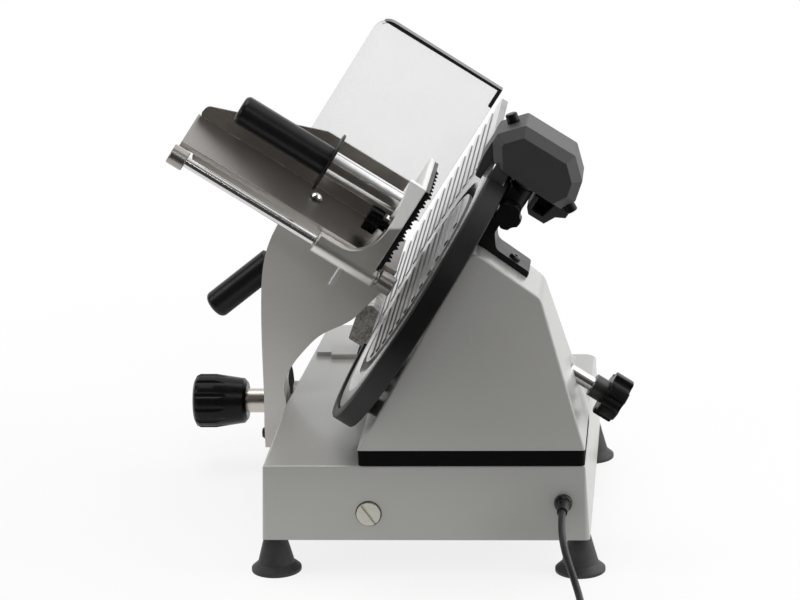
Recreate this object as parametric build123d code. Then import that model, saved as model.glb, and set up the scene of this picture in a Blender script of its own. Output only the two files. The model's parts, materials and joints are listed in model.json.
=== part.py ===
from build123d import *
import math
import os

# Gravity-feed food slicer with a 250 mm blade, all sizes in millimetres, +Z up from the floor.
# X runs from the operator's side towards the motor, Y away from the cord end.

# Shared fits
RUN_FIT = 0.05
SLIDE_GAP = 0.3
SEAT_GAP = 0.5

# Rubber feet
FOOT_HEIGHT = 32.5
FOOT_FLANGE_RADIUS = 21
FOOT_RIM = 2.5
FOOT_NECK_RADIUS = 15.4
FOOT_NECK = 7.5
FOOT_TOP_RADIUS = 8.8
FOOT_INSET = 16.5
FOOT_SIDE_INSET = 9

# Cast base
BASE_WIDTH = 273
BASE_DEPTH = 306
LONG_DEPTH = 388
LONG_WIDTH = 130
BASE_HEIGHT = 64.3
BASE_DRAFT = 2.5
BASE_WALL = 4
BASE_CORNER = 4
BASE_FAR_CORNER = 14
SLANT_CORNER = 20
SLANT_WIDTH = 68
BASE_EDGE_ROUND = 2
WALL_BEND_Y = 163
WALL_BEND_X = 12
STEP_HEIGHT = 4
STEP_SET = 8
STEP_MARGIN = 3.2
STEP_DRAFT = 8
BOTTOM_SHEET = 2.5
BOSS_HEIGHT = 18
DECK = FOOT_HEIGHT + BASE_HEIGHT
SHEET_TOP = FOOT_HEIGHT + 1.5 + BOTTOM_SHEET

# Carriage guide
GUIDE_X = 90
GUIDE_Z = 55.6
GUIDE_RADIUS = 8
CAP_RADIUS = 10
BUSH_WALL = 3
RAIL_X = 34
RAIL_WIDTH = 12
RAIL_HEIGHT = 6.5

# Blade, its axis and tilt
BLADE_X = 128.6
BLADE_Y = 82.1
BLADE_Z = 235.9
BLADE_TILT = 33.13
BLADE_RADIUS = 125
BLADE_DISH_RADIUS = 86
BLADE_EDGE = -2
BLADE_BACK = -14
BLADE_SHEET = 4
BLADE_BEVEL = 15
HUB_FLANGE = 40
HUB_THICK = 4
SHAFT_RADIUS = 12.5
SHAFT_BORE = 6.5
BEARING_RADIUS = 23.5
BEARING_WIDTH = 12
BEARING_SPACE = 6
BOSS_RADIUS = 32
PULLEY_RADIUS = 24
PULLEY_WIDTH = 12
MOTOR_PULLEY_RADIUS = 11
BELT_THICK = 2.5

# Ring guard round the blade
RING_GAP = 2.5
RING_WALL = 8.5
RING_RADIUS = BLADE_RADIUS + RING_GAP + RING_WALL
RING_DEPTH = 18
RING_FLANGE = 14
RING_FLANGE_THICK = 3.5

# Blade cover and its tie rod
COVER_GAP = 4
COVER_RADIUS = BLADE_DISH_RADIUS - COVER_GAP
COVER_THICK = 7.5
RIDGE_PITCH = 12
RIDGE_WIDTH = 6
RIDGE_HEIGHT = 1.2
TIE_RADIUS = 6
TIE_THREAD_RADIUS = 5
TIE_EXIT = 174
TIE_HEAD_RADIUS = 20

# Motor housing
GASKET_HEIGHT = 13.5
GASKET_INSET = 0.5
GASKET_WIDTH = 10
BODY_WALL = 4
BODY_EDGE_ROUND = 2
BODY_NEAR = 2
BODY_FAR = 190
BODY_FOOT = DECK + GASKET_HEIGHT
BODY_LEFT = (82, BODY_FOOT)
BODY_PEAK = (181.8, 281.1)
BODY_SHOULDER = (236.8, 240.3)
BODY_RIGHT = (270.1, BODY_FOOT)
BODY_BACK_POINT = (237.7, 67.8, 236.8)
BODY_BACK_NORMAL = (0.523, 0.739, 0.4226)

# Motor
MOTOR_RADIUS = 36
MOTOR_DROP = 62
MOTOR_START = -78
MOTOR_LENGTH = 78
MOTOR_FLANGE = 4
MOTOR_SHAFT_RADIUS = 5

# Sharpener
SHARPENER_Y = 48
SHARPENER_DEPTH = 52
SHARPENER_WALL = 3
HOOD_BEVEL = 8
HOOD_FRONT = 6
POST_RADIUS = 6
POST_N = -30
BRACKET_WIDTH = 36
STONE_RADIUS = 18
STONE_THICK = 7
TRUING_RADIUS = 9
SHARPENER_BUTTON_RADIUS = 5

# Carriage arm
ARM_NEAR = 190
ARM_THICK = 30
ARM_TOP = 117
ARM_WEB = 7
FOOT_BAR_INSET = 5
FOOT_BAR_LOW = 47
FOOT_BAR_HIGH = 64
FOOT_BAR_END = 74
SLIDER_LENGTH = 60
SLIDER_SET = 12
BUSH_LENGTH = 16
SLIDER_WIDTH = 32
SLIDER_HEIGHT = 25
SLIDER_ROUND = 6
ARM_SLOT_GAP = 3
CARRIAGE_BACK = 185
CARRIAGE_ON = 14

# Food tray
SHEET = 2
TRAY_FLOOR = -34.6
TRAY_NEAR = 172
TRAY_FAR = 280
TRAY_LOW = 9
TRAY_HIGH = 226
WALL_TOP = 14.3
GUARD_THICK = 4
GUARD_LOW = -14
GUARD_TOP = 130
GUARD_INNER = 8.5
GUARD_OUTER = 134.5
GUARD_CORNER = 15
GUARD_RIM = 10
GUARD_RIM_THICK = 3
GUARD_RIM_TAIL = 20
STUD_RADIUS = 6
STUD_HEAD = 6
STUD_SHANK = 3
STUD_CLEAR = 1.2

# Pusher
PUSH_ROD_Y = 158
PUSH_ROD_M = -42
PUSH_ROD_RADIUS = 4.75
COLLAR_RADIUS = 9
COLLAR_LENGTH = 15
COLLAR_LOW = 6
COLLAR_HIGH = 214
LINER_WALL = 1.8
SLEEVE_RADIUS = 9.75
SLEEVE_LOW = 22
SLEEVE_HIGH = 85
GRIP_Y = 200
GRIP_M = 12.1
TUBE_RADIUS = 12
TUBE_END = 106.8
GRIP_RADIUS = 13.5
GRIP_END = 198
HAND_GUARD_RADIUS = 28
HAND_GUARD_THICK = 2.5
CLAMP_Y = 222
CLAMP_M = -16
CLAMP_SCREW_RADIUS = 3

# Carriage handle
HANDLE_RADIUS = 12.5
GRIP_ROUND = 5
HANDLE_START = (-10, 214.5)
HANDLE_END = (-63, 173.5)

# Thickness dial
DIAL_Y = 275
DIAL_Z = 62.3
DIAL_SHAFT = 6
DIAL_BOSS = 18
DIAL_DISC = 33.7
DIAL_DISC_X = -8
DIAL_DISC_THICK = 4
DIAL_SLEEVE = 11
DIAL_SLEEVE_END = -47
DIAL_KNOB_END = -95.5
DIAL_KNOB_RADIUS = 24.5
CAM_START = 16
CAM_END = 34
CAM_LOW = 11
CAM_TURN = 330
GAUGE_TRAVEL = 12

# Gauge plate
GAUGE_FACE = -1.5
GAUGE_THICK = 6
GAUGE_GAP = 4
GAUGE_ARC = BLADE_RADIUS + GAUGE_GAP
GAUGE_TOP = 104
GAUGE_LOW = -92
GAUGE_FAR = 372
TONGUE_NEAR = 294
TONGUE_WIDTH = 28
GUIDE_BAR_RADIUS = 4

# Switch
PANEL_Y = 354
PANEL_Z = 66
PANEL_LENGTH = 48
PANEL_HEIGHT = 30
PANEL_FACE = 8.5
BUTTON_RADIUS = 8
BUTTON_SPACING = 21
BUTTON_STROKE = 2.5
BUTTON_STAND = 3.5
BUTTON_DEPTH = 11

# Mains cord
CORD_RADIUS = 3
GLAND_INSET = 21.5
GLAND_X = BASE_WIDTH - GLAND_INSET
GLAND_Z = 65.3
GLAND_RADIUS = 7.5
GLAND_LENGTH = 22
GLAND_TAIL = 8
COIL_PITCH = 6.5
COIL_OUTER = 45
COIL_LAYER = 6.6
COIL_LOW = 4.4
COIL_Y = -142
TIE_STRAP = 1.2

os.makedirs("parts", exist_ok=True)

# How a round piece stands on its plane
STANDING = (Align.CENTER, Align.CENTER, Align.MIN)

tilt = math.radians(BLADE_TILT)
ALONG = Vector(math.sin(tilt), 0, math.cos(tilt))
OUT = Vector(-math.cos(tilt), 0, math.sin(tilt))
BLADE_CENTRE = Vector(BLADE_X, BLADE_Y, BLADE_Z)
BLADE_PLANE = Plane(origin=BLADE_CENTRE, x_dir=(0, -1, 0), z_dir=OUT)


def blade_point(y, m, n):
    """Point from its Y, its distance m up the blade and n out of the blade towards the operator."""
    return Vector(BLADE_X, y, BLADE_Z) + ALONG * m + OUT * n


def blade_section(y):
    """Plane across Y whose local axes are n and m, so that an extrusion runs towards +Y."""
    return Plane(origin=(BLADE_X, y, BLADE_Z), x_dir=OUT, z_dir=(0, 1, 0))


def side_section(y):
    """Plane across Y whose local axes are X and Z, so that an extrusion runs towards -Y."""
    return Plane(origin=(0, y, 0), x_dir=(1, 0, 0), z_dir=(0, -1, 0))


def outline(points):
    """Closed face through points of (x, y) or (x, y, corner radius)."""
    face = make_face(Polyline(*[p[:2] for p in points], close=True))
    for radius in sorted({p[2] for p in points if len(p) == 3}):
        corners = [p for p in points if len(p) == 3 and p[2] == radius]
        near = [face.vertices().sort_by_distance((p[0], p[1], 0))[0] for p in corners]
        face = fillet(near, radius)
    return face


def blade_slab(face, near, far):
    """Solid with an (n, m) face between two values of Y."""
    return extrude(blade_section(near) * face, amount=far - near)


def side_slab(face, near, far):
    """Solid with an (X, Z) face between two values of Y."""
    return extrude(side_section(far) * face, amount=far - near)


def rod(start, end, radius):
    """Cylinder between two points."""
    start, end = Vector(*start), Vector(*end)
    return Part(Solid.make_cylinder(radius, (end - start).length, Plane(start, z_dir=end - start)).wrapped)


def tapered(start, end, first, last):
    """Cone between two points with its two radii."""
    start, end = Vector(*start), Vector(*end)
    return Part(Solid.make_cone(first, last, (end - start).length, Plane(start, z_dir=end - start)).wrapped)


def turned(profile, plane, sweep=360):
    """Solid of revolution of (radius, height) points about the plane's normal."""
    face = Plane.XZ * make_face(Polyline(*profile, close=True))
    return plane.location * revolve(face, axis=Axis.Z, revolution_arc=sweep)


def blade_axis(m, y, n):
    """Plane on a line parallel to the blade's axis, facing the operator."""
    return Plane(origin=blade_point(y, m, n), x_dir=(0, -1, 0), z_dir=OUT)


def block(x, y, z):
    """Box from its ranges along X, Y and Z."""
    box = Box(x[1] - x[0], y[1] - y[0], z[1] - z[0], align=(Align.MIN, Align.MIN, Align.MIN))
    return Pos(x[0], y[0], z[0]) * box


def blade_block(n, m, y):
    """Box from its ranges along n, m and Y."""
    face = outline([(n[0], m[0]), (n[1], m[0]), (n[1], m[1]), (n[0], m[1])])
    return blade_slab(face, y[0], y[1])


def lobed(radius, depth, lobes, height, spread=0.62):
    """Knob with round hollows between its lobes, standing on the XY plane; spread widens the hollows."""
    body = fillet(Cylinder(radius, height, align=STANDING).edges(), 1.5)
    hollow = radius * math.sin(math.pi / lobes) * spread
    for place in PolarLocations(radius + hollow - depth, lobes):
        body -= place * Pos(0, 0, -1) * Cylinder(hollow, height + 2, align=STANDING)
    return body


def base_edge(y):
    """X of the base's lower edge on the operator's side."""
    return max(0.0, WALL_BEND_X * (y - WALL_BEND_Y) / (LONG_DEPTH - WALL_BEND_Y))


nodes = {}

# Rubber feet, one under each corner of the base
feet_places = [
    (FOOT_SIDE_INSET, FOOT_INSET),
    (BASE_WIDTH - FOOT_SIDE_INSET, FOOT_INSET),
    (BASE_WIDTH - FOOT_SIDE_INSET, BASE_DEPTH - FOOT_SIDE_INSET),
    (FOOT_INSET + WALL_BEND_X, LONG_DEPTH - FOOT_INSET),
]
bell = turned(
    [
        (0, 0),
        (FOOT_FLANGE_RADIUS, 0),
        (FOOT_FLANGE_RADIUS, FOOT_RIM),
        ((FOOT_FLANGE_RADIUS + FOOT_NECK_RADIUS) / 2, (FOOT_RIM + FOOT_NECK) / 2),
        (FOOT_NECK_RADIUS, FOOT_NECK),
        (FOOT_TOP_RADIUS, FOOT_HEIGHT),
        (0, FOOT_HEIGHT),
    ],
    Plane.XY,
)
nodes["feet"] = Part() + [Pos(x, y, 0) * bell for x, y in feet_places]

# Cast aluminium base, open below, longer under the gauge plate
base_outline = outline(
    [
        (0, 0, BASE_CORNER),
        (BASE_WIDTH, 0, BASE_CORNER),
        (BASE_WIDTH, BASE_DEPTH, BASE_FAR_CORNER),
        (LONG_WIDTH + SLANT_WIDTH, BASE_DEPTH, SLANT_CORNER),
        (LONG_WIDTH, LONG_DEPTH, SLANT_CORNER),
        (WALL_BEND_X, LONG_DEPTH, BASE_FAR_CORNER),
        (0, WALL_BEND_Y),
    ]
)
base_solid = Pos(0, 0, FOOT_HEIGHT) * extrude(base_outline, amount=BASE_HEIGHT, taper=BASE_DRAFT)
base_shell = fillet(base_solid.faces().sort_by(Axis.Z)[-1].edges(), BASE_EDGE_ROUND)
hollow = offset(base_outline, amount=-BASE_WALL, kind=Kind.INTERSECTION)
base_shell -= Pos(0, 0, FOOT_HEIGHT) * extrude(hollow, amount=BASE_HEIGHT - BASE_WALL, taper=BASE_DRAFT)
draft_inset = BASE_HEIGHT * math.tan(math.radians(BASE_DRAFT)) + STEP_MARGIN
step_near = BASE_DEPTH - STEP_SET
raised = outline(
    [
        (base_edge(step_near) + draft_inset, step_near, 4),
        (LONG_WIDTH + SLANT_WIDTH - 2, step_near, 10),
        (LONG_WIDTH - 4, LONG_DEPTH - draft_inset, 14),
        (WALL_BEND_X + draft_inset, LONG_DEPTH - draft_inset, 10),
    ]
)
base_shell += Pos(0, 0, DECK - 1) * extrude(raised, amount=STEP_HEIGHT + 1, taper=STEP_DRAFT)
for x, y in feet_places:
    boss = Cylinder(FOOT_TOP_RADIUS, BOSS_HEIGHT, align=STANDING)
    base_shell += (Pos(x, y, FOOT_HEIGHT) * boss) & base_solid
    rib_end = 0 if y < BASE_DEPTH / 2 else LONG_DEPTH
    rib = block(
        (x - BASE_WALL / 2, x + BASE_WALL / 2),
        (min(y, rib_end), max(y, rib_end)),
        (SHEET_TOP + SEAT_GAP, FOOT_HEIGHT + BOSS_HEIGHT),
    )
    base_shell += rib & base_solid
base_shell += rod((DIAL_DISC_X + 4, DIAL_Y, DIAL_Z), (CAM_START - 2, DIAL_Y, DIAL_Z), DIAL_BOSS)
base_shell -= rod((DIAL_DISC_X - 5, DIAL_Y, DIAL_Z), (CAM_START + 5, DIAL_Y, DIAL_Z), DIAL_SHAFT + RUN_FIT)

# Round carriage guide rod with a slotted cap at each end of the base
cap_near = -1.2
cap_depth = 7.2
far_wall = LONG_DEPTH - (GUIDE_Z - FOOT_HEIGHT) * math.tan(math.radians(BASE_DRAFT))
cap_far = far_wall - cap_near
guide_caps = [
    rod((GUIDE_X, cap_near, GUIDE_Z), (GUIDE_X, cap_near + cap_depth, GUIDE_Z), CAP_RADIUS),
    rod((GUIDE_X, cap_far - cap_depth, GUIDE_Z), (GUIDE_X, cap_far, GUIDE_Z), CAP_RADIUS),
]
slot_width = 2.2
slot_depth = 1.8
slot_turn = -35
slot_bar = Pos(GUIDE_X, 0, GUIDE_Z) * Rot(0, slot_turn, 0) * Box(slot_width, slot_depth * 2, CAP_RADIUS * 3)
base_shell -= guide_caps
nodes["guide_rod_caps"] = Part() + [
    guide_caps[0] - Pos(0, cap_near, 0) * slot_bar,
    guide_caps[1] - Pos(0, cap_far, 0) * slot_bar,
]
nodes["guide_rod"] = rod(
    (GUIDE_X, cap_near + cap_depth, GUIDE_Z), (GUIDE_X, cap_far - cap_depth, GUIDE_Z), GUIDE_RADIUS
)

# Steel sheet that closes the base from below
through = 30
sheet_outline = offset(base_outline, amount=-(BASE_WALL + SEAT_GAP), kind=Kind.INTERSECTION)
bottom_sheet = Pos(0, 0, SHEET_TOP - BOTTOM_SHEET) * extrude(sheet_outline, amount=BOTTOM_SHEET)
for x, y in feet_places:
    bottom_sheet -= Pos(x, y, FOOT_HEIGHT) * Cylinder(FOOT_TOP_RADIUS + SEAT_GAP, through)
plate_screws = [(60, 12), (150, 12), (BASE_WIDTH - 8, 150), (120, LONG_DEPTH - 40)]
plate_screw_radius = 2.5
for x, y in plate_screws:
    bottom_sheet -= Pos(x, y, FOOT_HEIGHT) * Cylinder(plate_screw_radius, through)
vent_x = 190
vent_near = 60
vent_length = 60
vent_width = 4
vent_pitch = 12
vent = Box(vent_length, vent_width, through)
vent += Pos(vent_length / 2, 0, 0) * Cylinder(vent_width / 2, through)
for index in range(5):
    bottom_sheet -= Pos(vent_x, vent_near + index * vent_pitch, FOOT_HEIGHT) * vent
nodes["bottom_plate"] = bottom_sheet

# Flat rail that keeps the carriage from turning on its rod
rail_near = 12
rail_far = ARM_NEAR + SLIDER_LENGTH
nodes["support_rail"] = block(
    (RAIL_X - RAIL_WIDTH / 2, RAIL_X + RAIL_WIDTH / 2),
    (rail_near, rail_far),
    (SHEET_TOP, SHEET_TOP + RAIL_HEIGHT),
)

# Carriage arm, a casting that reaches through the base wall to the guide rod
arm_far = ARM_NEAR + ARM_THICK
arm_low = FOOT_BAR_LOW
tray_under = TRAY_FLOOR - SHEET
corner_low = blade_point(0, tray_under, TRAY_LOW + 4)
corner_high = blade_point(0, tray_under, ARM_TOP)
arm_back = -20.9
arm_front = -0.6
heel = (arm_back, 70)
crown = (-1.4, 251.3)
toe = (90.9, 192.7)
knee = (arm_front, 92)
back_curve = Spline(heel, (-19.9, 136), (-18.6, 184), (-15.3, 215.6), crown)
front_curve = Spline(
    toe, (79.3, 182.8), (59.3, 164.4), (32.3, 151), (18.4, 138.2), (7.2, 124.7), (1.5, 114.5), knee
)
arm_face = make_face(
    [
        Line((FOOT_BAR_END, arm_low), (arm_back, arm_low)),
        Line((arm_back, arm_low), heel),
        back_curve,
        Line(crown, (corner_high.X, corner_high.Z)),
        Line((corner_high.X, corner_high.Z), (corner_low.X, corner_low.Z)),
        Line((corner_low.X, corner_low.Z), toe),
        front_curve,
        Line(knee, (arm_front, FOOT_BAR_HIGH)),
        Line((arm_front, FOOT_BAR_HIGH), (FOOT_BAR_END, FOOT_BAR_HIGH)),
        Line((FOOT_BAR_END, FOOT_BAR_HIGH), (FOOT_BAR_END, arm_low)),
    ]
)
arm = side_slab(arm_face, ARM_NEAR, arm_far)
bar_near = ARM_NEAR + FOOT_BAR_INSET
bar_far = arm_far - FOOT_BAR_INSET
arm -= block((arm_front, FOOT_BAR_END + 1), (ARM_NEAR - 1, bar_near), (arm_low - 1, FOOT_BAR_HIGH + 1))
arm -= block((arm_front, FOOT_BAR_END + 1), (bar_far, arm_far + 1), (arm_low - 1, FOOT_BAR_HIGH + 1))
pocket = outline(
    [
        (-11, 150, 4),
        (-10, 190, 8),
        (-6, 218, 8),
        (8, 250, 6),
        (80, 208, 5),
        (56, 176, 10),
        (28, 164, 8),
        (4, 140, 5),
    ]
)
arm -= side_slab(pocket, ARM_NEAR + ARM_WEB, arm_far + 1)
nodes["carriage_arm"] = arm

# Slider block with two bronze bushes on the guide rod, and a nylon shoe on the rail
slider_near = ARM_NEAR + SLIDER_SET
slider_far = slider_near + SLIDER_LENGTH
slider = block(
    (FOOT_BAR_END, FOOT_BAR_END + SLIDER_WIDTH),
    (slider_near, slider_far),
    (GUIDE_Z - SLIDER_HEIGHT / 2, GUIDE_Z + SLIDER_HEIGHT / 2),
)
slider_edges = slider.edges().filter_by(Axis.Y).filter_by(lambda e: e.center().X > GUIDE_X)
slider = fillet(slider_edges, SLIDER_ROUND)
bush_radius = GUIDE_RADIUS + BUSH_WALL
slider -= rod((GUIDE_X, slider_near - 1, GUIDE_Z), (GUIDE_X, slider_far + 1, GUIDE_Z), bush_radius)
nodes["carriage_slider"] = slider
bushes = []
for start in (slider_near, slider_far - BUSH_LENGTH):
    end = start + BUSH_LENGTH
    ring = rod((GUIDE_X, start, GUIDE_Z), (GUIDE_X, end, GUIDE_Z), bush_radius)
    bore = rod((GUIDE_X, start - 1, GUIDE_Z), (GUIDE_X, end + 1, GUIDE_Z), GUIDE_RADIUS + RUN_FIT)
    bushes.append(ring - bore)
nodes["guide_bushes"] = Part() + bushes
nodes["slide_shoe"] = block(
    (RAIL_X - RAIL_WIDTH / 2, RAIL_X + RAIL_WIDTH / 2),
    (bar_near + 2, bar_far - 2),
    (SHEET_TOP + RAIL_HEIGHT + SLIDE_GAP, FOOT_BAR_LOW),
)
arm_slot_x = (-6, 22)
base_shell -= block(
    arm_slot_x,
    (bar_near - CARRIAGE_BACK - ARM_SLOT_GAP, bar_far + CARRIAGE_ON + ARM_SLOT_GAP),
    (arm_low - 2, FOOT_BAR_HIGH + 2),
)

# Carriage handle on the operator's side of the arm
handle_axis = Vector(HANDLE_END[0] - HANDLE_START[0], 0, HANDLE_END[1] - HANDLE_START[1])
handle_y = ARM_NEAR + ARM_THICK / 2
handle_plane = Plane((HANDLE_START[0], handle_y, HANDLE_START[1]), z_dir=handle_axis)
handle_long = handle_axis.length
grip = Cylinder(HANDLE_RADIUS, handle_long, align=STANDING)
grip = fillet(grip.edges().sort_by(Axis.Z)[-1], GRIP_ROUND)
nodes["carriage_handle"] = handle_plane.location * grip - side_slab(arm_face, ARM_NEAR, arm_far)

# Sheet steel food tray with its far wall and a hem along its near edge
floor_low = TRAY_FLOOR - SHEET
tray = blade_block((TRAY_LOW, TRAY_HIGH), (floor_low, TRAY_FLOOR), (TRAY_NEAR, TRAY_FAR))
wall_start = 34.8
tray_wall = outline(
    [
        (wall_start, floor_low),
        (TRAY_HIGH, floor_low, 6),
        (TRAY_HIGH - 3, -23.7, 6),
        (119.6, WALL_TOP),
        (wall_start, WALL_TOP),
    ]
)
tray += blade_slab(tray_wall, TRAY_FAR - SHEET, TRAY_FAR)
hem_width = 4
hem_height = 2.4
hem_sheet = 1.6
hem_gap = 1.2
hem_far = TRAY_NEAR + hem_width
tray += blade_block((TRAY_LOW, TRAY_HIGH), (TRAY_FLOOR - 1, TRAY_FLOOR + hem_height), (TRAY_NEAR, hem_far))
tray -= blade_block(
    (TRAY_LOW - 1, TRAY_HIGH + 1),
    (TRAY_FLOOR, TRAY_FLOOR + hem_gap),
    (TRAY_NEAR + hem_sheet, hem_far + SEAT_GAP),
)
stud_n = 99
stud_y = 243
tray -= rod(
    blade_point(stud_y, floor_low - 1, stud_n), blade_point(stud_y, TRAY_FLOOR + 1, stud_n), STUD_SHANK
)
nodes["tray"] = tray
stud_plane = Plane(blade_point(stud_y, floor_low, stud_n), x_dir=(0, 1, 0), z_dir=ALONG)
stud = turned(
    [
        (0, 0),
        (STUD_SHANK, 0),
        (STUD_SHANK, SHEET),
        (STUD_RADIUS - 1.2, SHEET),
        (STUD_RADIUS, SHEET + 1.6),
        (STUD_RADIUS - 0.3, SHEET + 3.2),
        (STUD_RADIUS - 1.6, SHEET + STUD_HEAD - 1.3),
        (STUD_RADIUS - 3.6, SHEET + STUD_HEAD - 0.3),
        (0, SHEET + STUD_HEAD),
    ],
    stud_plane,
)
nodes["tray_screw"] = stud

# Clear guard behind the tray wall, with a folded rim along its top
guard = outline(
    [
        (GUARD_INNER, GUARD_LOW),
        (GUARD_INNER, GUARD_TOP - 1),
        (GUARD_OUTER, GUARD_TOP, GUARD_CORNER),
        (GUARD_OUTER, GUARD_LOW, 3),
    ]
)
rim = guard - offset(guard, amount=-GUARD_RIM_THICK)
rim_reach = (GUARD_OUTER - GUARD_INNER - GUARD_CORNER / 3, GUARD_RIM_TAIL)
rim &= Pos(GUARD_INNER, GUARD_TOP) * Rectangle(*rim_reach, align=(Align.MIN, Align.MAX))
guard_plate = blade_slab(guard, TRAY_FAR, TRAY_FAR + GUARD_THICK)
nodes["clear_guard"] = guard_plate + blade_slab(rim, TRAY_FAR + 1, TRAY_FAR + GUARD_RIM)

# Pusher rod held beside the tray by two collars
rod_low = blade_point(PUSH_ROD_Y, PUSH_ROD_M, COLLAR_LOW + 2)
rod_high = blade_point(PUSH_ROD_Y, PUSH_ROD_M, COLLAR_HIGH + COLLAR_LENGTH - 2)
push_rod = rod(rod_low, rod_high, PUSH_ROD_RADIUS)
nodes["pusher_rod"] = push_rod
collars = []
for start in (COLLAR_LOW, COLLAR_HIGH):
    collar_plane = blade_axis(PUSH_ROD_M, PUSH_ROD_Y, start)
    collar = Cylinder(COLLAR_RADIUS, COLLAR_LENGTH, align=STANDING)
    collar = collar_plane.location * chamfer(collar.edges(), 0.8)
    tongue_low = max(start + 3, TRAY_LOW)
    collar += blade_block((tongue_low, start + 12), (PUSH_ROD_M, floor_low), (PUSH_ROD_Y, ARM_NEAR - 4))
    collars.append(collar - push_rod)
nodes["rod_collars"] = Part() + collars

# Pusher: steel liner that slides on the rod, cast bracket that swings on it, toothed plate and grip
liner_radius = PUSH_ROD_RADIUS + LINER_WALL
sleeve_long = SLEEVE_HIGH - SLEEVE_LOW


def sleeve_tube(outer, inner, start, length):
    """Tube on the pusher rod."""
    tube = Cylinder(outer, length, align=STANDING)
    tube -= Pos(0, 0, -1) * Cylinder(inner, length + 2, align=STANDING)
    return blade_axis(PUSH_ROD_M, PUSH_ROD_Y, start).location * tube


nodes["pusher_liner"] = sleeve_tube(liner_radius, PUSH_ROD_RADIUS + RUN_FIT, SLEEVE_LOW, sleeve_long)
shoulder = 1.5
sleeve_start = SLEEVE_LOW + shoulder
sleeve_end = SLEEVE_HIGH - shoulder
bracket = sleeve_tube(SLEEVE_RADIUS, 2, sleeve_start, sleeve_end - sleeve_start)
plate_far = 255
plate_low = TRAY_FLOOR + 3.4
tooth_back = 27
web_front = 32
web_top = 49.8
rib_outer = sleeve_end - 1
rib_back = (29.2, web_top)
rib_tip = (43.3, 49.9)
rib_foot = (62, -32.4)
rib_heel = (rib_outer, -32.6)
rib_face = make_face(
    [
        Line((tooth_back, PUSH_ROD_M), rib_back),
        Line(rib_back, rib_tip),
        Spline(rib_tip, (40.6, 37.2), (37, 12), (38.5, -8), (47, -25), rib_foot),
        Line(rib_foot, rib_heel),
        Line(rib_heel, (rib_outer, PUSH_ROD_M)),
        Line((rib_outer, PUSH_ROD_M), (tooth_back, PUSH_ROD_M)),
    ]
)
rib_near = PUSH_ROD_Y - 9
rib_far = PUSH_ROD_Y - 1
bracket += blade_slab(rib_face, rib_near, rib_far)
web_solid = blade_block((tooth_back, web_front), (plate_low, web_top), (rib_near, plate_far))
far_corners = web_solid.faces().sort_by(Axis.Y)[-1].edges().filter_by(Axis((0, 0, 0), OUT))
bracket += fillet(far_corners, 2)
foot_rib = [
    (tooth_back, plate_low),
    (web_front + 2.5, plate_low),
    (web_front + 1.5, plate_low + 4),
    (tooth_back, 30),
]
bracket += blade_slab(outline(foot_rib), rib_near, plate_far)
stud_side = STUD_RADIUS + STUD_CLEAR
stud_top = TRAY_FLOOR + STUD_HEAD + STUD_CLEAR
stud_path = blade_block((0, TRAY_HIGH), (TRAY_FLOOR, stud_top), (stud_y - stud_side, stud_y + stud_side))
bracket -= stud_path
bracket -= blade_axis(PUSH_ROD_M, PUSH_ROD_Y, 0).location * Cylinder(liner_radius + RUN_FIT, 2 * TRAY_HIGH)
clamp_bore = rod(
    blade_point(CLAMP_Y, CLAMP_M, 20), blade_point(CLAMP_Y, CLAMP_M, 60), CLAMP_SCREW_RADIUS + RUN_FIT
)
bracket -= clamp_bore
tube_seat = 32
seat_depth = 6
seat_wall = 2.5
tube_wall = 2
bracket += rod(
    blade_point(GRIP_Y, GRIP_M, tube_seat - 1),
    blade_point(GRIP_Y, GRIP_M, tube_seat + seat_depth),
    TUBE_RADIUS + seat_wall,
)
bracket -= rod(
    blade_point(GRIP_Y, GRIP_M, tube_seat), blade_point(GRIP_Y, GRIP_M, tube_seat + 60), TUBE_RADIUS
)
pin_n = 52.3
pin_reach = 26.8
stop_pin_radius = 3
pin = rod(
    blade_point(PUSH_ROD_Y, PUSH_ROD_M - SLEEVE_RADIUS + 2, pin_n),
    blade_point(PUSH_ROD_Y, PUSH_ROD_M - pin_reach, pin_n),
    stop_pin_radius,
)
bracket -= pin
nodes["pusher_bracket"] = bracket
nodes["stop_pin"] = pin
grip_tube = rod(blade_point(GRIP_Y, GRIP_M, tube_seat), blade_point(GRIP_Y, GRIP_M, TUBE_END), TUBE_RADIUS)
nodes["grip_tube"] = grip_tube - rod(
    blade_point(GRIP_Y, GRIP_M, tube_seat + tube_wall),
    blade_point(GRIP_Y, GRIP_M, TUBE_END + 1),
    TUBE_RADIUS - tube_wall,
)
guard_disc = Cylinder(HAND_GUARD_RADIUS, HAND_GUARD_THICK, align=STANDING)
nodes["hand_guard"] = blade_axis(GRIP_M, GRIP_Y, TUBE_END).location * fillet(guard_disc.edges(), 1)
grip_start = TUBE_END + HAND_GUARD_THICK
grip_long = GRIP_END - TUBE_END - HAND_GUARD_THICK
push_grip = Cylinder(GRIP_RADIUS, grip_long, align=STANDING)
push_grip = fillet(push_grip.edges().sort_by(Axis.Z)[-1], GRIP_ROUND)
nodes["pusher_grip"] = blade_axis(GRIP_M, GRIP_Y, grip_start).location * push_grip
tooth_face = 23
tooth_plate = blade_block((tooth_face, tooth_back), (plate_low - 0.4, 48.5), (rib_near + 2, plate_far - 2))
tooth_pitch = 12
row_pitch = 11
tooth_long = 4
tooth_root = 2.6
tooth_tip = 0.5
teeth = []
for row in range(7):
    for column in range(8):
        y = rib_near + 10 + column * tooth_pitch + (row % 2) * tooth_pitch / 2
        m = plate_low + 8 + row * row_pitch
        tip = blade_point(y, m, tooth_face - tooth_long)
        teeth.append(tapered(blade_point(y, m, tooth_face), tip, tooth_root, tooth_tip))
tooth_plate += teeth
tooth_plate -= stud_path
tooth_plate -= rod(
    blade_point(CLAMP_Y, CLAMP_M, 25), blade_point(CLAMP_Y, CLAMP_M, 60), CLAMP_SCREW_RADIUS + RUN_FIT
)
nodes["toothed_plate"] = tooth_plate
clamp = lobed(radius=13, depth=3, lobes=6, height=13)
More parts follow.
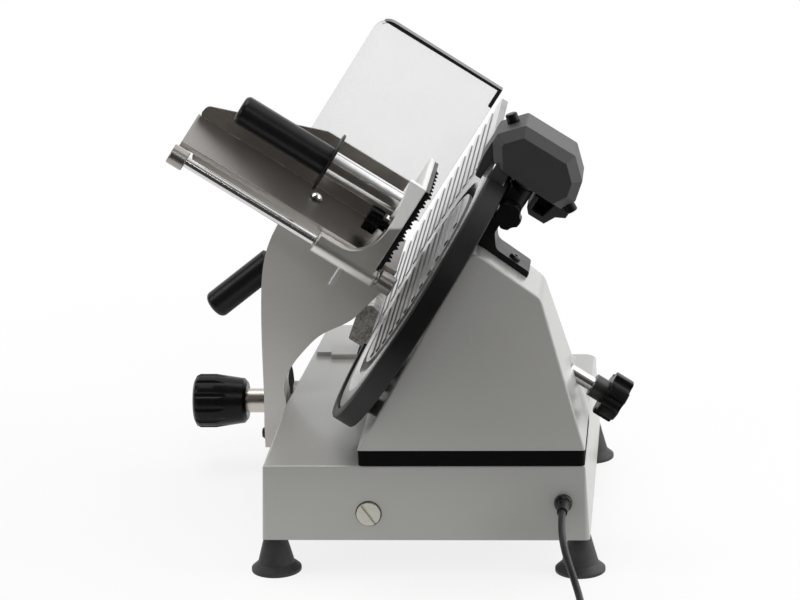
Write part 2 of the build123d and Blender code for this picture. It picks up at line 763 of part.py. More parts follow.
clamp_neck = 6.3
clamp += Pos(0, 0, -clamp_neck) * Cylinder(6, clamp_neck, align=STANDING)
clamp += Pos(0, 0, -15.5) * Cylinder(CLAMP_SCREW_RADIUS, 10, align=STANDING)
nodes["plate_knob"] = blade_axis(CLAMP_M, CLAMP_Y, 41).location * clamp

# Blade with its hollow shaft and pulley, and the two bearings of the shaft
blade_profile = [
    (SHAFT_RADIUS + 2, BLADE_BACK),
    (BLADE_DISH_RADIUS + 2, BLADE_BACK),
    (BLADE_DISH_RADIUS + 10, BLADE_EDGE - 4),
    (BLADE_RADIUS - BLADE_BEVEL, BLADE_EDGE - 3),
    (BLADE_RADIUS, BLADE_EDGE - 0.4),
    (BLADE_RADIUS, BLADE_EDGE),
    (BLADE_RADIUS - BLADE_BEVEL, BLADE_EDGE + 0.7),
    (BLADE_DISH_RADIUS + 8, BLADE_EDGE),
    (BLADE_DISH_RADIUS, BLADE_BACK + BLADE_SHEET),
    (SHAFT_RADIUS + 2, BLADE_BACK + BLADE_SHEET),
]
blade = turned(blade_profile, BLADE_PLANE)
hub_back = BLADE_BACK - HUB_THICK
boss_front = hub_back - 1.5
bearing_one = boss_front - 1.5
bearing_two = bearing_one - BEARING_WIDTH - BEARING_SPACE
boss_back = bearing_two - BEARING_WIDTH - 2
pulley_front = boss_back - 4
pulley_back = pulley_front - PULLEY_WIDTH
shaft = turned(
    [
        (SHAFT_BORE, pulley_back),
        (PULLEY_RADIUS, pulley_back),
        (PULLEY_RADIUS, pulley_front),
        (SHAFT_RADIUS, pulley_front),
        (SHAFT_RADIUS, hub_back),
        (HUB_FLANGE, hub_back),
        (HUB_FLANGE, BLADE_BACK),
        (SHAFT_BORE, BLADE_BACK),
    ],
    BLADE_PLANE,
)
nodes["blade"] = blade
nodes["blade_shaft"] = shaft
bearings = []
for front in (bearing_one, bearing_two):
    back = front - BEARING_WIDTH
    section = [
        (SHAFT_RADIUS + RUN_FIT, back),
        (BEARING_RADIUS, back),
        (BEARING_RADIUS, front),
        (SHAFT_RADIUS + RUN_FIT, front),
    ]
    bearings.append(turned(section, BLADE_PLANE))
nodes["blade_bearings"] = Part() + bearings

# Motor housing, an aluminium casting with the bearing boss in its blade side
body_face = outline([BODY_LEFT, (*BODY_PEAK, 8), (*BODY_SHOULDER, 12), BODY_RIGHT])
body_back = Plane(BODY_BACK_POINT, z_dir=BODY_BACK_NORMAL)
body = split(side_slab(body_face, BODY_NEAR, BODY_FAR), bisect_by=body_back, keep=Keep.BOTTOM)
near_edges = body.edges().filter_by(lambda e: abs(e.center().Y - BODY_NEAR) < 0.01)
front_edges = near_edges.filter_by(lambda e: e.center().Z > BODY_FOOT + 0.1)
body = fillet(front_edges, BODY_EDGE_ROUND)
inner_face = outline(
    [
        (BODY_LEFT[0] + BODY_WALL + 3, BODY_FOOT - 1),
        (BODY_PEAK[0] + 1, BODY_PEAK[1] - BODY_WALL - 4, 6),
        (BODY_SHOULDER[0] - BODY_WALL - 1, BODY_SHOULDER[1] - BODY_WALL + 1, 8),
        (BODY_RIGHT[0] - BODY_WALL, BODY_FOOT - 1),
    ]
)
inner = side_slab(inner_face, BODY_NEAR + BODY_WALL, BODY_FAR - BODY_WALL)
body -= split(inner, bisect_by=body_back.offset(-BODY_WALL), keep=Keep.BOTTOM)


def blade_drum(radius, back, front):
    """Cylinder round the blade's axis between two values of n."""
    return turned([(0, back), (radius, back), (radius, front), (0, front)], BLADE_PLANE)


body += blade_drum(BOSS_RADIUS, boss_back, boss_front)
body -= blade_drum(BEARING_RADIUS, boss_back - 1, boss_front + 1)
motor_post_spread = 36
motor_post_front = -29
motor_post_radius = 6
for y in (BLADE_Y - motor_post_spread, BLADE_Y + motor_post_spread):
    body += rod(
        blade_point(y, -MOTOR_DROP, motor_post_front),
        blade_point(y, -MOTOR_DROP, MOTOR_START + MOTOR_FLANGE),
        motor_post_radius,
    )
tie_boss_front = -128
tie_boss_back = -150
tie_boss_wall = 6
tie_hole = rod(blade_point(BLADE_Y, 0, -120), blade_point(BLADE_Y, 0, -190), TIE_RADIUS + RUN_FIT)
tie_boss = rod(
    blade_point(BLADE_Y, 0, tie_boss_front),
    blade_point(BLADE_Y, 0, tie_boss_back),
    TIE_RADIUS + tie_boss_wall,
)
body += tie_boss
body -= tie_hole

# Rubber gasket between the deck and the housing
gasket_outer = outline(
    [
        (BODY_LEFT[0] + GASKET_INSET, BODY_NEAR + GASKET_INSET, 4),
        (BODY_RIGHT[0] - GASKET_INSET, BODY_NEAR + GASKET_INSET, 4),
        (BODY_RIGHT[0] - GASKET_INSET, 116.5, 8),
        (168, BODY_FAR - GASKET_INSET, 10),
        (BODY_LEFT[0] + GASKET_INSET, BODY_FAR - GASKET_INSET, 6),
    ]
)
gasket = Pos(0, 0, DECK) * extrude(gasket_outer, amount=GASKET_HEIGHT)
gasket_inner = offset(gasket_outer, amount=-GASKET_WIDTH)
gasket -= Pos(0, 0, DECK - 1) * extrude(gasket_inner, amount=GASKET_HEIGHT + 2)
nodes["body_gasket"] = gasket
motor_opening_x = (BODY_LEFT[0] + 63, BASE_WIDTH - 21)
motor_opening_y = (BODY_NEAR + 36, BODY_NEAR + 124)
base_shell -= block(motor_opening_x, motor_opening_y, (DECK - 12, DECK + 2))

# Motor, hung from the housing, with its pulley, belt and run capacitor
motor_axis = blade_axis(-MOTOR_DROP, BLADE_Y, 0)
motor_end = MOTOR_START - MOTOR_LENGTH
motor_turn = [
    (0, motor_end),
    (MOTOR_RADIUS - 4, motor_end),
    (MOTOR_RADIUS, motor_end + 5),
    (MOTOR_RADIUS, MOTOR_START),
    (MOTOR_RADIUS + 8, MOTOR_START),
    (MOTOR_RADIUS + 8, MOTOR_START + MOTOR_FLANGE),
    (MOTOR_SHAFT_RADIUS + RUN_FIT, MOTOR_START + MOTOR_FLANGE),
    (MOTOR_SHAFT_RADIUS + RUN_FIT, MOTOR_START - 20),
    (0, MOTOR_START - 20),
]
motor = turned(motor_turn, motor_axis)
fin_count = 14
fin_gap = (4.4, 4, MOTOR_LENGTH - 26)
fin_slot = Pos(0, 0, MOTOR_START - 8) * Box(*fin_gap, align=(Align.CENTER, Align.CENTER, Align.MAX))
for place in PolarLocations(MOTOR_RADIUS + 1.2, fin_count):
    motor -= motor_axis.location * place * fin_slot
nodes["motor"] = motor
nodes["motor_shaft"] = turned(
    [
        (0, MOTOR_START - 19),
        (MOTOR_SHAFT_RADIUS, MOTOR_START - 19),
        (MOTOR_SHAFT_RADIUS, pulley_back),
        (MOTOR_PULLEY_RADIUS, pulley_back),
        (MOTOR_PULLEY_RADIUS, pulley_front),
        (0, pulley_front),
    ],
    motor_axis,
)


def belt_loop(gap, low, high):
    """Solid round both pulleys, a gap outside them, between two values of n."""
    wheels = [Circle(PULLEY_RADIUS + gap), Pos(0, -MOTOR_DROP) * Circle(MOTOR_PULLEY_RADIUS + gap)]
    rims = [edge for wheel in wheels for edge in wheel.edges()]
    return extrude(BLADE_PLANE.offset(low) * make_hull(rims), amount=high - low)


belt_low = pulley_back + 1
belt_high = pulley_front - 1
nodes["drive_belt"] = belt_loop(SLIDE_GAP + BELT_THICK, belt_low, belt_high) - belt_loop(
    SLIDE_GAP, belt_low - 1, belt_high + 1
)
can_radius = 17
can_y = 215
can_z = SHEET_TOP + can_radius
nodes["capacitor"] = rod((150, can_y, can_z), (216, can_y, can_z), can_radius)

# Ring guard of the blade with two lugs against the housing
ring_profile = [
    (RING_RADIUS - RING_WALL - RING_FLANGE, -RING_DEPTH),
    (RING_RADIUS - 1, -RING_DEPTH),
    (RING_RADIUS, -RING_DEPTH + 1),
    (RING_RADIUS, -1.5),
    (RING_RADIUS - 1.5, 0),
    (RING_RADIUS - RING_WALL + 1.5, 0),
    (RING_RADIUS - RING_WALL, -1.5),
    (RING_RADIUS - RING_WALL, -RING_DEPTH + RING_FLANGE_THICK),
    (RING_RADIUS - RING_WALL - RING_FLANGE, -RING_DEPTH + RING_FLANGE_THICK),
]
ring_start = -129
ring_sweep = 249
ring = turned(ring_profile, Plane.XY, ring_sweep)
ring = BLADE_PLANE.location * Rot(0, 0, ring_start) * ring
notch_near = SHARPENER_Y - SHARPENER_DEPTH / 2 - 1
notch_far = SHARPENER_Y + SHARPENER_DEPTH / 2 + 1
ring -= blade_block(
    (-RING_DEPTH + RING_FLANGE_THICK, 5), (RING_RADIUS - 46, RING_RADIUS + 14), (notch_near, notch_far)
)
ring -= blade_block((-RING_DEPTH - 1, 5), (BLADE_RADIUS + 5, RING_RADIUS + 14), (notch_near, notch_far))
lug_radius = RING_RADIUS - 12
lug_size = 7.5
lug_long = 40
lug_angles = (-98, -124)
for angle in lug_angles:
    spot = Vector(lug_radius * math.cos(math.radians(angle)), lug_radius * math.sin(math.radians(angle)), 0)
    lug = Pos(spot.X, spot.Y, -lug_long) * Cylinder(lug_size, lug_long - RING_DEPTH, align=STANDING)
    ring += BLADE_PLANE.location * lug - side_slab(body_face, BODY_NEAR, BODY_FAR)
nodes["ring_guard"] = Part() + ring.solids().sort_by(SortBy.VOLUME)[-1]

# Ridged cover in the dish of the blade, drawn home by the tie rod through the hollow shaft
cover_back = BLADE_BACK + BLADE_SHEET + 1.2
cover = Cylinder(COVER_RADIUS, COVER_THICK, align=STANDING)
cover_bevel = 5
cover = chamfer(cover.edges().sort_by(Axis.Z)[0], cover_bevel)
cover_boss_radius = 9
cover_boss_drop = 3
cover_boss = Pos(0, 0, -cover_boss_drop) * Cylinder(cover_boss_radius, cover_boss_drop + 1, align=STANDING)
strips = Part()
strip_count = int(2 * COVER_RADIUS / RIDGE_PITCH) - 1
for index in range(strip_count):
    offset_m = (index - (strip_count - 1) / 2) * RIDGE_PITCH
    half = math.sqrt((COVER_RADIUS - 3) ** 2 - (abs(offset_m) + RIDGE_WIDTH / 2) ** 2)
    strip = Box(2 * half, RIDGE_WIDTH, RIDGE_HEIGHT + 1, align=STANDING)
    strip = chamfer(strip.edges().filter_by(Axis.X).group_by(Axis.Z)[-1], 0.9)
    strips += Pos(0, offset_m, COVER_THICK - 1) * strip
cover = cover + cover_boss + strips
cover -= Pos(0, 0, -4) * Cylinder(TIE_THREAD_RADIUS + RUN_FIT, 8, align=STANDING)
nodes["blade_cover"] = BLADE_PLANE.offset(cover_back).location * cover
tie_collar_radius = 10
tie_end = -TIE_EXIT - 12
tie = turned(
    [
        (0, tie_end),
        (tie_collar_radius, tie_end),
        (tie_collar_radius, -TIE_EXIT),
        (TIE_RADIUS, -TIE_EXIT),
        (TIE_RADIUS, -110),
        (TIE_THREAD_RADIUS, -106),
        (TIE_THREAD_RADIUS, cover_back + 3.5),
        (0, cover_back + 3.5),
    ],
    BLADE_PLANE,
)
nodes["tie_rod"] = tie
tie_head = lobed(TIE_HEAD_RADIUS, depth=5, lobes=6, height=17)
tie_plane = Plane(blade_point(BLADE_Y, 0, tie_end), x_dir=(0, 1, 0), z_dir=-OUT)
nodes["tie_rod_knob"] = tie_plane.location * tie_head

# Sharpener bracket on the slope of the housing
bracket_near = SHARPENER_Y - BRACKET_WIDTH / 2
bracket_far = SHARPENER_Y + BRACKET_WIDTH / 2
riser = outline(
    [
        (-20, 50),
        (-72, 50),
        (-72, 69, 3),
        (-38, 71, 8),
        (POST_N, 82, 6),
        (POST_N, BLADE_RADIUS - 5),
        (-20, BLADE_RADIUS - 1, 3),
    ]
)
stand = blade_slab(riser, bracket_near, bracket_far)
body_full = side_slab(outline([BODY_LEFT, BODY_PEAK, BODY_SHOULDER, BODY_RIGHT]), BODY_NEAR, BODY_FAR)
stand -= body_full
stand = stand.solids().sort_by(SortBy.VOLUME)[-1]
stand = Part() + stand
boss_low = BLADE_RADIUS - 31
boss_high = BLADE_RADIUS - 1
post_boss_wall = 4
stand += rod(
    blade_point(SHARPENER_Y, boss_low, POST_N),
    blade_point(SHARPENER_Y, boss_high, POST_N),
    POST_RADIUS + post_boss_wall,
)
post_low = boss_low + 2
post_high = BLADE_RADIUS + 33
stand -= rod(
    blade_point(SHARPENER_Y, boss_low - 2, POST_N),
    blade_point(SHARPENER_Y, post_high, POST_N),
    POST_RADIUS + RUN_FIT,
)
knob_m = BLADE_RADIUS - 21
knob_screw_radius = 3
knob_bore = rod(
    blade_point(SHARPENER_Y - POST_RADIUS - 1, knob_m, POST_N),
    blade_point(0, knob_m, POST_N),
    knob_screw_radius + RUN_FIT,
)
stand -= knob_bore
pad_m = RING_RADIUS - 24
ring_pad = rod(blade_point(SHARPENER_Y, pad_m, -21), blade_point(SHARPENER_Y, pad_m, -RING_DEPTH), 9)
nodes["sharpener_bracket"] = Part() + stand + ring_pad
clamp_knob = lobed(radius=11.5, depth=1.8, lobes=5, height=15, spread=1.1)
knob_screw = 9.5
clamp_knob += Pos(0, 0, -knob_screw) * Cylinder(knob_screw_radius, knob_screw + 1, align=STANDING)
knob_plane = Plane(blade_point(bracket_near - 3, knob_m, POST_N), x_dir=(1, 0, 0), z_dir=(0, -1, 0))
nodes["sharpener_knob"] = knob_plane.location * clamp_knob

# Sharpener housing on its post, with two stones on spindles and their push buttons
house_near = SHARPENER_Y - SHARPENER_DEPTH / 2
house_far = SHARPENER_Y + SHARPENER_DEPTH / 2


def at_edge(points):
    """Closed face through points whose m is measured from the blade's edge."""
    return Pos(0, BLADE_RADIUS) * outline(points)


house_face = at_edge(
    [
        (-16, 6),
        (2, 7),
        (11.5, 21),
        (11.5, 29),
        (-4, 47),
        (-51, 47),
        (-67, 32),
        (-71, 15),
        (-64, 3),
        (-57, 5),
    ]
)
house = blade_slab(house_face, house_near, house_far)
bevel_above = blade_point(0, BLADE_RADIUS + 7.5, 0)
near_face = house.faces().sort_by(Axis.Y)[0]
bevelled = near_face.edges().filter_by(lambda e: (e.center() - bevel_above).dot(ALONG) > 0)
house = chamfer(bevelled, HOOD_BEVEL)
lobe = at_edge(
    [
        (-42, 8),
        (-42, -14),
        (-46, -18.5),
        (-61, -18.5),
        (-66, -9),
        (-73.5, -5),
        (-74, 5),
        (-70, 15),
        (-56, 15),
    ]
)
house += blade_slab(lobe, SHARPENER_Y - 4, house_far)
round_above = blade_point(0, BLADE_RADIUS + 13, -20).Z
long_edges = house.edges().filter_by(Axis.Y).filter_by(lambda e: e.center().Z > round_above)
house = fillet(long_edges, 3)
claw = at_edge([(3, -12), (8.5, -12, 2), (11.3, 6), (11.3, 22), (3, 15)])
house += blade_slab(claw, house_near + 14, house_far - 4)
cavity = at_edge(
    [
        (-1.5, -2),
        (-1.5, 17),
        (6.5, 27),
        (-6, 43),
        (-49, 43),
        (-63, 30),
        (-67, 15),
        (-61.5, 5.5),
        (-57, -14),
        (-46, -14),
        (-46, -2),
    ]
)
house_front = house_near + HOOD_FRONT
house -= blade_slab(cavity, house_front, house_far - SHARPENER_WALL)
skirt_low = BLADE_RADIUS - 10
skirt_near = house_front - SHARPENER_WALL
house += blade_block((-13.5, -0.5), (skirt_low, BLADE_RADIUS + 9), (skirt_near, house_front))
post = rod(
    blade_point(SHARPENER_Y, post_low, POST_N), blade_point(SHARPENER_Y, post_high, POST_N), POST_RADIUS
)
house += rod(
    blade_point(SHARPENER_Y, boss_high + SLIDE_GAP, POST_N),
    blade_point(SHARPENER_Y, BLADE_RADIUS + 45, POST_N),
    POST_RADIUS + 3,
)
stone_m = BLADE_RADIUS + 11
stone_back = -14
stone_front = stone_back + STONE_THICK
spindle_radius = 3
house += rod(
    blade_point(SHARPENER_Y, stone_m, POST_N), blade_point(SHARPENER_Y, stone_m, stone_front), spindle_radius
)
truing_m = BLADE_RADIUS - 4
truing_y = SHARPENER_Y + 5
truing_front = 2.8
truing_back = -0.8
truing_pin = 2
house += rod(blade_point(truing_y, truing_m, 4), blade_point(truing_y, truing_m, truing_back), truing_pin)
push_buttons = {
    "grind_button": (SHARPENER_Y + 8, Vector(3.75, BLADE_RADIUS + 38), Vector(18, 15.5).normalized()),
    "truing_button": (SHARPENER_Y - 13, Vector(-67.5, BLADE_RADIUS + 9), Vector(-12, -7).normalized()),
}
for name, (y, seat, normal) in push_buttons.items():
    inner = seat - normal * 7
    outer = seat + normal * 7.5
    start = blade_point(y, inner.Y, inner.X)
    end = blade_point(y, outer.Y, outer.X)
    shape = rod(start, end, SHARPENER_BUTTON_RADIUS)
    house -= rod(start, end, SHARPENER_BUTTON_RADIUS + SLIDE_GAP)
    nodes[name] = fillet(shape.edges().sort_by_distance(end)[0], 1.2)
nodes["sharpener_housing"] = house - post
nodes["sharpener_post"] = post
nodes["grinding_stone"] = turned(
    [
        (spindle_radius + RUN_FIT, stone_back),
        (STONE_RADIUS, stone_back),
        (STONE_RADIUS, stone_front - 2),
        (STONE_RADIUS - 2, stone_front),
        (spindle_radius + RUN_FIT, stone_front),
    ],
    blade_axis(stone_m, SHARPENER_Y, 0),
)
nodes["truing_stone"] = turned(
    [
        (truing_pin + RUN_FIT, truing_back),
        (TRUING_RADIUS, truing_back),
        (TRUING_RADIUS, truing_front),
        (truing_pin + RUN_FIT, truing_front),
    ],
    blade_axis(truing_m, truing_y, 0),
)

# Gauge plate, ridged on the operator's side, with a concave edge round the blade
gauge_back = GAUGE_FACE - GAUGE_THICK
gauge_face = make_face(
    [
        Line((BLADE_Y - GAUGE_FAR, GAUGE_LOW), (BLADE_Y - GAUGE_FAR, GAUGE_TOP)),
        Line((BLADE_Y - GAUGE_FAR, GAUGE_TOP), (-math.sqrt(GAUGE_ARC**2 - GAUGE_TOP**2), GAUGE_TOP)),
        ThreePointArc(
            (-math.sqrt(GAUGE_ARC**2 - GAUGE_TOP**2), GAUGE_TOP),
            (-GAUGE_ARC, 0),
            (-math.sqrt(GAUGE_ARC**2 - GAUGE_LOW**2), GAUGE_LOW),
        ),
        Line((-math.sqrt(GAUGE_ARC**2 - GAUGE_LOW**2), GAUGE_LOW), (BLADE_Y - GAUGE_FAR, GAUGE_LOW)),
    ]
)
gauge_corner = 12
gauge_round = fillet(gauge_face.vertices().sort_by(Axis.X)[:2], gauge_corner)
gauge_rim = 5
gauge = extrude(BLADE_PLANE.offset(gauge_back) * gauge_round, amount=GAUGE_THICK)
gauge -= extrude(BLADE_PLANE.offset(gauge_back - 1) * offset(gauge_round, amount=-gauge_rim), amount=3)
groove_width = RIDGE_PITCH - RIDGE_WIDTH
ridge_count = int((GAUGE_TOP - GAUGE_LOW) / RIDGE_PITCH) - 1
for index in range(ridge_count):
    m = GAUGE_LOW + RIDGE_PITCH * (index + 1)
    floor = (m - groove_width / 2, m + groove_width / 2)
    gauge -= blade_block((GAUGE_FACE - RIDGE_HEIGHT, GAUGE_FACE + 1), floor, (BLADE_Y, GAUGE_FAR + 1))
nodes["gauge_plate"] = gauge

# Cast support under the gauge plate, with a tongue through the deck to a slide on two short bars
support_near = ARM_NEAR + ARM_THICK + CARRIAGE_ON + ARM_SLOT_GAP
support_far = GAUGE_FAR - 22
support_foot = GAUGE_LOW - 36
support_face = outline(
    [
        (gauge_back, GAUGE_LOW),
        (GAUGE_FACE, GAUGE_LOW),
        (5, GAUGE_LOW + 2, 2),
        (15.7, GAUGE_LOW - 3.5, 3),
        (8.5, support_foot, 3),
        (gauge_back, support_foot, 3),
    ]
)
support = blade_slab(support_face, support_near, support_far)
tongue_far = TONGUE_NEAR + TONGUE_WIDTH
tongue_end = -198
tongue_face = outline(
    [
        (2, -120),
        (-9, -120),
        (-26, -150),
        (-26, tongue_end),
        (-8, tongue_end),
        (-8, -176),
        (-14, -152),
        (-11, -134),
    ]
)
support += blade_slab(tongue_face, TONGUE_NEAR, tongue_far)
bar_places = [TONGUE_NEAR + 7, tongue_far - 7]
bar_m = -187
bar_low = -50
bar_high = 4
for y in bar_places:
    support -= rod(blade_point(y, bar_m, -60), blade_point(y, bar_m, 30), GUIDE_BAR_RADIUS + RUN_FIT)
bars = []
for y in bar_places:
    bars.append(rod(blade_point(y, bar_m, bar_low), blade_point(y, bar_m, bar_high), GUIDE_BAR_RADIUS))
cradle_near = TONGUE_NEAR - 3
cradle_far = tongue_far + 3
cradle_wall = 6
cradle_m = (bar_m - 9, bar_m + 9)
cradle = blade_block((bar_low, bar_low + cradle_wall), (bar_m - 9, bar_m + 12), (cradle_near, cradle_far))
cradle += blade_block((bar_high - cradle_wall, bar_high), cradle_m, (cradle_near, cradle_far))
cradle += blade_block((bar_low, bar_high), cradle_m, (cradle_far - 1, cradle_far + 3))
cradle -= bars
nodes["gauge_cradle"] = Part() + [cradle] + bars
tongue_slot_x = (34, 84)
base_shell -= block(tongue_slot_x, (TONGUE_NEAR - 2, tongue_far + 2), (DECK - 12, DECK + STEP_HEIGHT + 2))

# Follower pin of the slide under the dial's snail cam
pin_radius = 2.5
follower_gap = 0.8
follower_z = DIAL_Z - CAM_LOW - follower_gap - pin_radius
support += block(
    (CAM_END + 3, CAM_END + 11), (DIAL_Y - 4.5, TONGUE_NEAR + 2), (follower_z - 3.5, follower_z + 20)
)
support += rod((CAM_START - 2, DIAL_Y, follower_z), (CAM_END + 4, DIAL_Y, follower_z), pin_radius)
nodes["gauge_support"] = support

# Thickness dial: shaft with its cam, scale disc, steel sleeve and fluted knob
dial_shaft = rod((DIAL_SLEEVE_END - 12, DIAL_Y, DIAL_Z), (CAM_END + 1.5, DIAL_Y, DIAL_Z), DIAL_SHAFT)
disc_front = DIAL_DISC_X - DIAL_DISC_THICK
dial_shaft += rod((disc_front, DIAL_Y, DIAL_Z), (DIAL_SLEEVE_END, DIAL_Y, DIAL_Z), DIAL_SLEEVE)
nodes["dial_shaft"] = dial_shaft
cam_rise = GAUGE_TRAVEL * math.sin(tilt)
cam_points = []
cam_steps = 12
for step in range(cam_steps + 1):
    turn = CAM_TURN * step / cam_steps
    radius = CAM_LOW + cam_rise * step / cam_steps
    angle = math.radians(-90 - turn)
    cam_points.append((radius * math.cos(angle), radius * math.sin(angle)))
cam_face = make_face([Spline(*cam_points), Line(cam_points[-1], cam_points[0])])
cam_plane = Plane(origin=(CAM_START, DIAL_Y, DIAL_Z), x_dir=(0, 1, 0), z_dir=(1, 0, 0))
cam = extrude(cam_plane * cam_face, amount=CAM_END - CAM_START)
nodes["dial_cam"] = cam - nodes["dial_shaft"]
disc = rod((DIAL_DISC_X, DIAL_Y, DIAL_Z), (disc_front, DIAL_Y, DIAL_Z), DIAL_DISC)
nodes["dial_scale"] = chamfer(disc.edges(), 0.8) - nodes["dial_shaft"]
knob_plane = Plane(origin=(DIAL_SLEEVE_END, DIAL_Y, DIAL_Z), x_dir=(0, 1, 0), z_dir=(-1, 0, 0))
knob_long = DIAL_SLEEVE_END - DIAL_KNOB_END
knob_turn = [
    (0, 0),
    (DIAL_SLEEVE + 6, 0),
    (DIAL_KNOB_RADIUS - 4, 3),
    (DIAL_KNOB_RADIUS - 3, 10),
    (DIAL_KNOB_RADIUS, knob_long * 0.6),
    (DIAL_KNOB_RADIUS, knob_long - 5),
    (DIAL_KNOB_RADIUS - 1.5, knob_long - 2),
    (DIAL_KNOB_RADIUS - 5, knob_long),
    (0, knob_long),
]
knob = turned(knob_turn, Plane.XY)
flute_count = 12
flute_radius = 4
flute = Pos(0, 0, knob_long * 0.3) * Cylinder(flute_radius, knob_long, align=STANDING)
for place in PolarLocations(DIAL_KNOB_RADIUS + 2.2, flute_count):
    knob -= place * flute
nodes["dial_knob"] = knob_plane.location * knob - nodes["dial_shaft"]

# Switch panel in the operator's side of the base with two push buttons
panel = block(
    (PANEL_FACE, PANEL_FACE + 7),
    (PANEL_Y - PANEL_LENGTH / 2, PANEL_Y + PANEL_LENGTH / 2),
    (PANEL_Z - PANEL_HEIGHT / 2, PANEL_Z + PANEL_HEIGHT / 2),
)
panel = fillet(panel.edges().filter_by(Axis.X), 6)
box_half = PANEL_LENGTH / 2 - 4
switch_box = block(
    (PANEL_FACE + 6, PANEL_FACE + 34), (PANEL_Y - box_half, PANEL_Y + box_half), (PANEL_Z - 11, PANEL_Z + 11)
)
base_shell -= panel
base_shell -= switch_box
panel += switch_box
panel -= block(
    (PANEL_FACE + 10, PANEL_FACE + 32),
    (PANEL_Y - box_half + 2, PANEL_Y + box_half - 2),
    (PANEL_Z - 9.5, PANEL_Z + 9.5),
)
well_end = PANEL_FACE + BUTTON_DEPTH + BUTTON_STROKE + SEAT_GAP
for name, side in (("start_button", -1), ("stop_button", 1)):
    y = PANEL_Y + side * BUTTON_SPACING / 2
    panel -= rod((PANEL_FACE - 1, y, PANEL_Z), (well_end, y, PANEL_Z), BUTTON_RADIUS + SLIDE_GAP)
    button = Cylinder(BUTTON_RADIUS, BUTTON_DEPTH + BUTTON_STAND, align=STANDING)
    button = fillet(button.edges().sort_by(Axis.Z)[-1], 1.5)
    nodes[name] = Pos(PANEL_FACE + BUTTON_DEPTH, y, PANEL_Z) * Rot(0, -90, 0) * button
nodes["switch_panel"] = panel

# Cord gland in the near wall
gland_plane = Plane(origin=(GLAND_X, GLAND_TAIL, GLAND_Z), x_dir=(1, 0, 0), z_dir=(0, -1, 0))
gland = turned(
    [
        (0, 0),
        (GLAND_RADIUS - 1, 0),
        (GLAND_RADIUS - 1, 6.8),
        (GLAND_RADIUS, 7.2),
        (GLAND_RADIUS, 10),
        (CORD_RADIUS + 2.6, 12),
        (CORD_RADIUS + 1.3, GLAND_LENGTH + GLAND_TAIL),
        (0, GLAND_LENGTH + GLAND_TAIL),
    ],
    gland_plane,
)
gland_end = -GLAND_LENGTH
base_shell -= gland
cord_seat = rod((GLAND_X, gland_end - 1, GLAND_Z), (GLAND_X, gland_end + 8, GLAND_Z), CORD_RADIUS)
nodes["cord_gland"] = gland - cord_seat

# Mains cord, hanging from the gland to the floor and wound in two layers out of the way
coil_x = GLAND_X + 19
run_floor = COIL_LOW
bends = [
    (GLAND_X, gland_end + 8, GLAND_Z),
    (GLAND_X, gland_end - 22, GLAND_Z),
    (GLAND_X + 2.5, gland_end - 43, GLAND_Z - 15),
    (GLAND_X + 14, gland_end - 53, GLAND_Z - 47),
    (coil_x, gland_end - 72, run_floor),
    (coil_x, COIL_Y + 6, run_floor),
]


def corner_radii(points):
    """Bend radius at each inner point, from the shorter run beside it and the turn."""
    radii = []
    for before, here, after in zip(points, points[1:], points[2:]):
        first = Vector(*here) - Vector(*before)
        second = Vector(*after) - Vector(*here)
        half = math.radians(first.get_angle(second)) / 2
        radii.append(0.45 * min(first.length, second.length) / math.tan(half))
    return radii


bend_radii = corner_radii(bends)
print("cord bend radii", [round(r, 1) for r in bend_radii])
free_path = FilletPolyline(*bends, radius=bend_radii)
cord_section = Circle(CORD_RADIUS)
free_cord = sweep(Plane(free_path @ 0, z_dir=free_path % 0) * cord_section, path=free_path)
print("cord volume", free_cord.volume, "section times length", math.pi * CORD_RADIUS**2 * free_path.length)
nodes["cord"] = free_cord

coil_centre = coil_x - COIL_OUTER
turns = 6
edges = [Line(bends[-1], (coil_x, COIL_Y, COIL_LOW))]
here = coil_x
radius = COIL_OUTER
side = -1
for half_turn in range(turns):
    far = here + side * 2 * radius
    middle = (here + far) / 2
    peak = (middle, COIL_Y + side * radius, COIL_LOW)
    edges.append(ThreePointArc((here, COIL_Y, COIL_LOW), peak, (far, COIL_Y, COIL_LOW)))
    here = far
    side = -side
    radius -= COIL_PITCH / 2
upper = COIL_LOW + COIL_LAYER
far = here - 2 * radius
middle = (here + far) / 2
climb_radius = math.hypot(radius, COIL_LAYER / 2)
peak = (middle, COIL_Y - climb_radius, (COIL_LOW + upper) / 2)
edges.append(ThreePointArc((here, COIL_Y, COIL_LOW), peak, (far, COIL_Y, upper)))
here = far
side = 1
for half_turn in range(turns - 1):
    radius += COIL_PITCH / 2
    far = here + side * 2 * radius
    middle = (here + far) / 2
    peak = (middle, COIL_Y + side * radius, upper)
    edges.append(ThreePointArc((here, COIL_Y, upper), peak, (far, COIL_Y, upper)))
    here = far
    side = -side
tail = 24
edges.append(Line((here, COIL_Y, upper), (here, COIL_Y - tail, upper)))
coil_path = Wire(edges)
coil = sweep(Plane(coil_path @ 0, z_dir=coil_path % 0) * cord_section, path=coil_path)
print("coil volume", coil.volume, "section times length", math.pi * CORD_RADIUS**2 * coil_path.length)
sample_step = 1.5
sample_count = int(coil_path.length / sample_step)
samples = [coil_path.position_at(index * sample_step, PositionMode.LENGTH) for index in range(sample_count)]
apart = int(60 / sample_step)
least = min(
    (samples[one] - samples[two]).length
    for one in range(0, sample_count, 2)
    for two in range(one + apart, sample_count)
)
print("least gap between turns", least - 2 * CORD_RADIUS, "cord length", free_path.length + coil_path.length)
nodes["cord_coil"] = coil

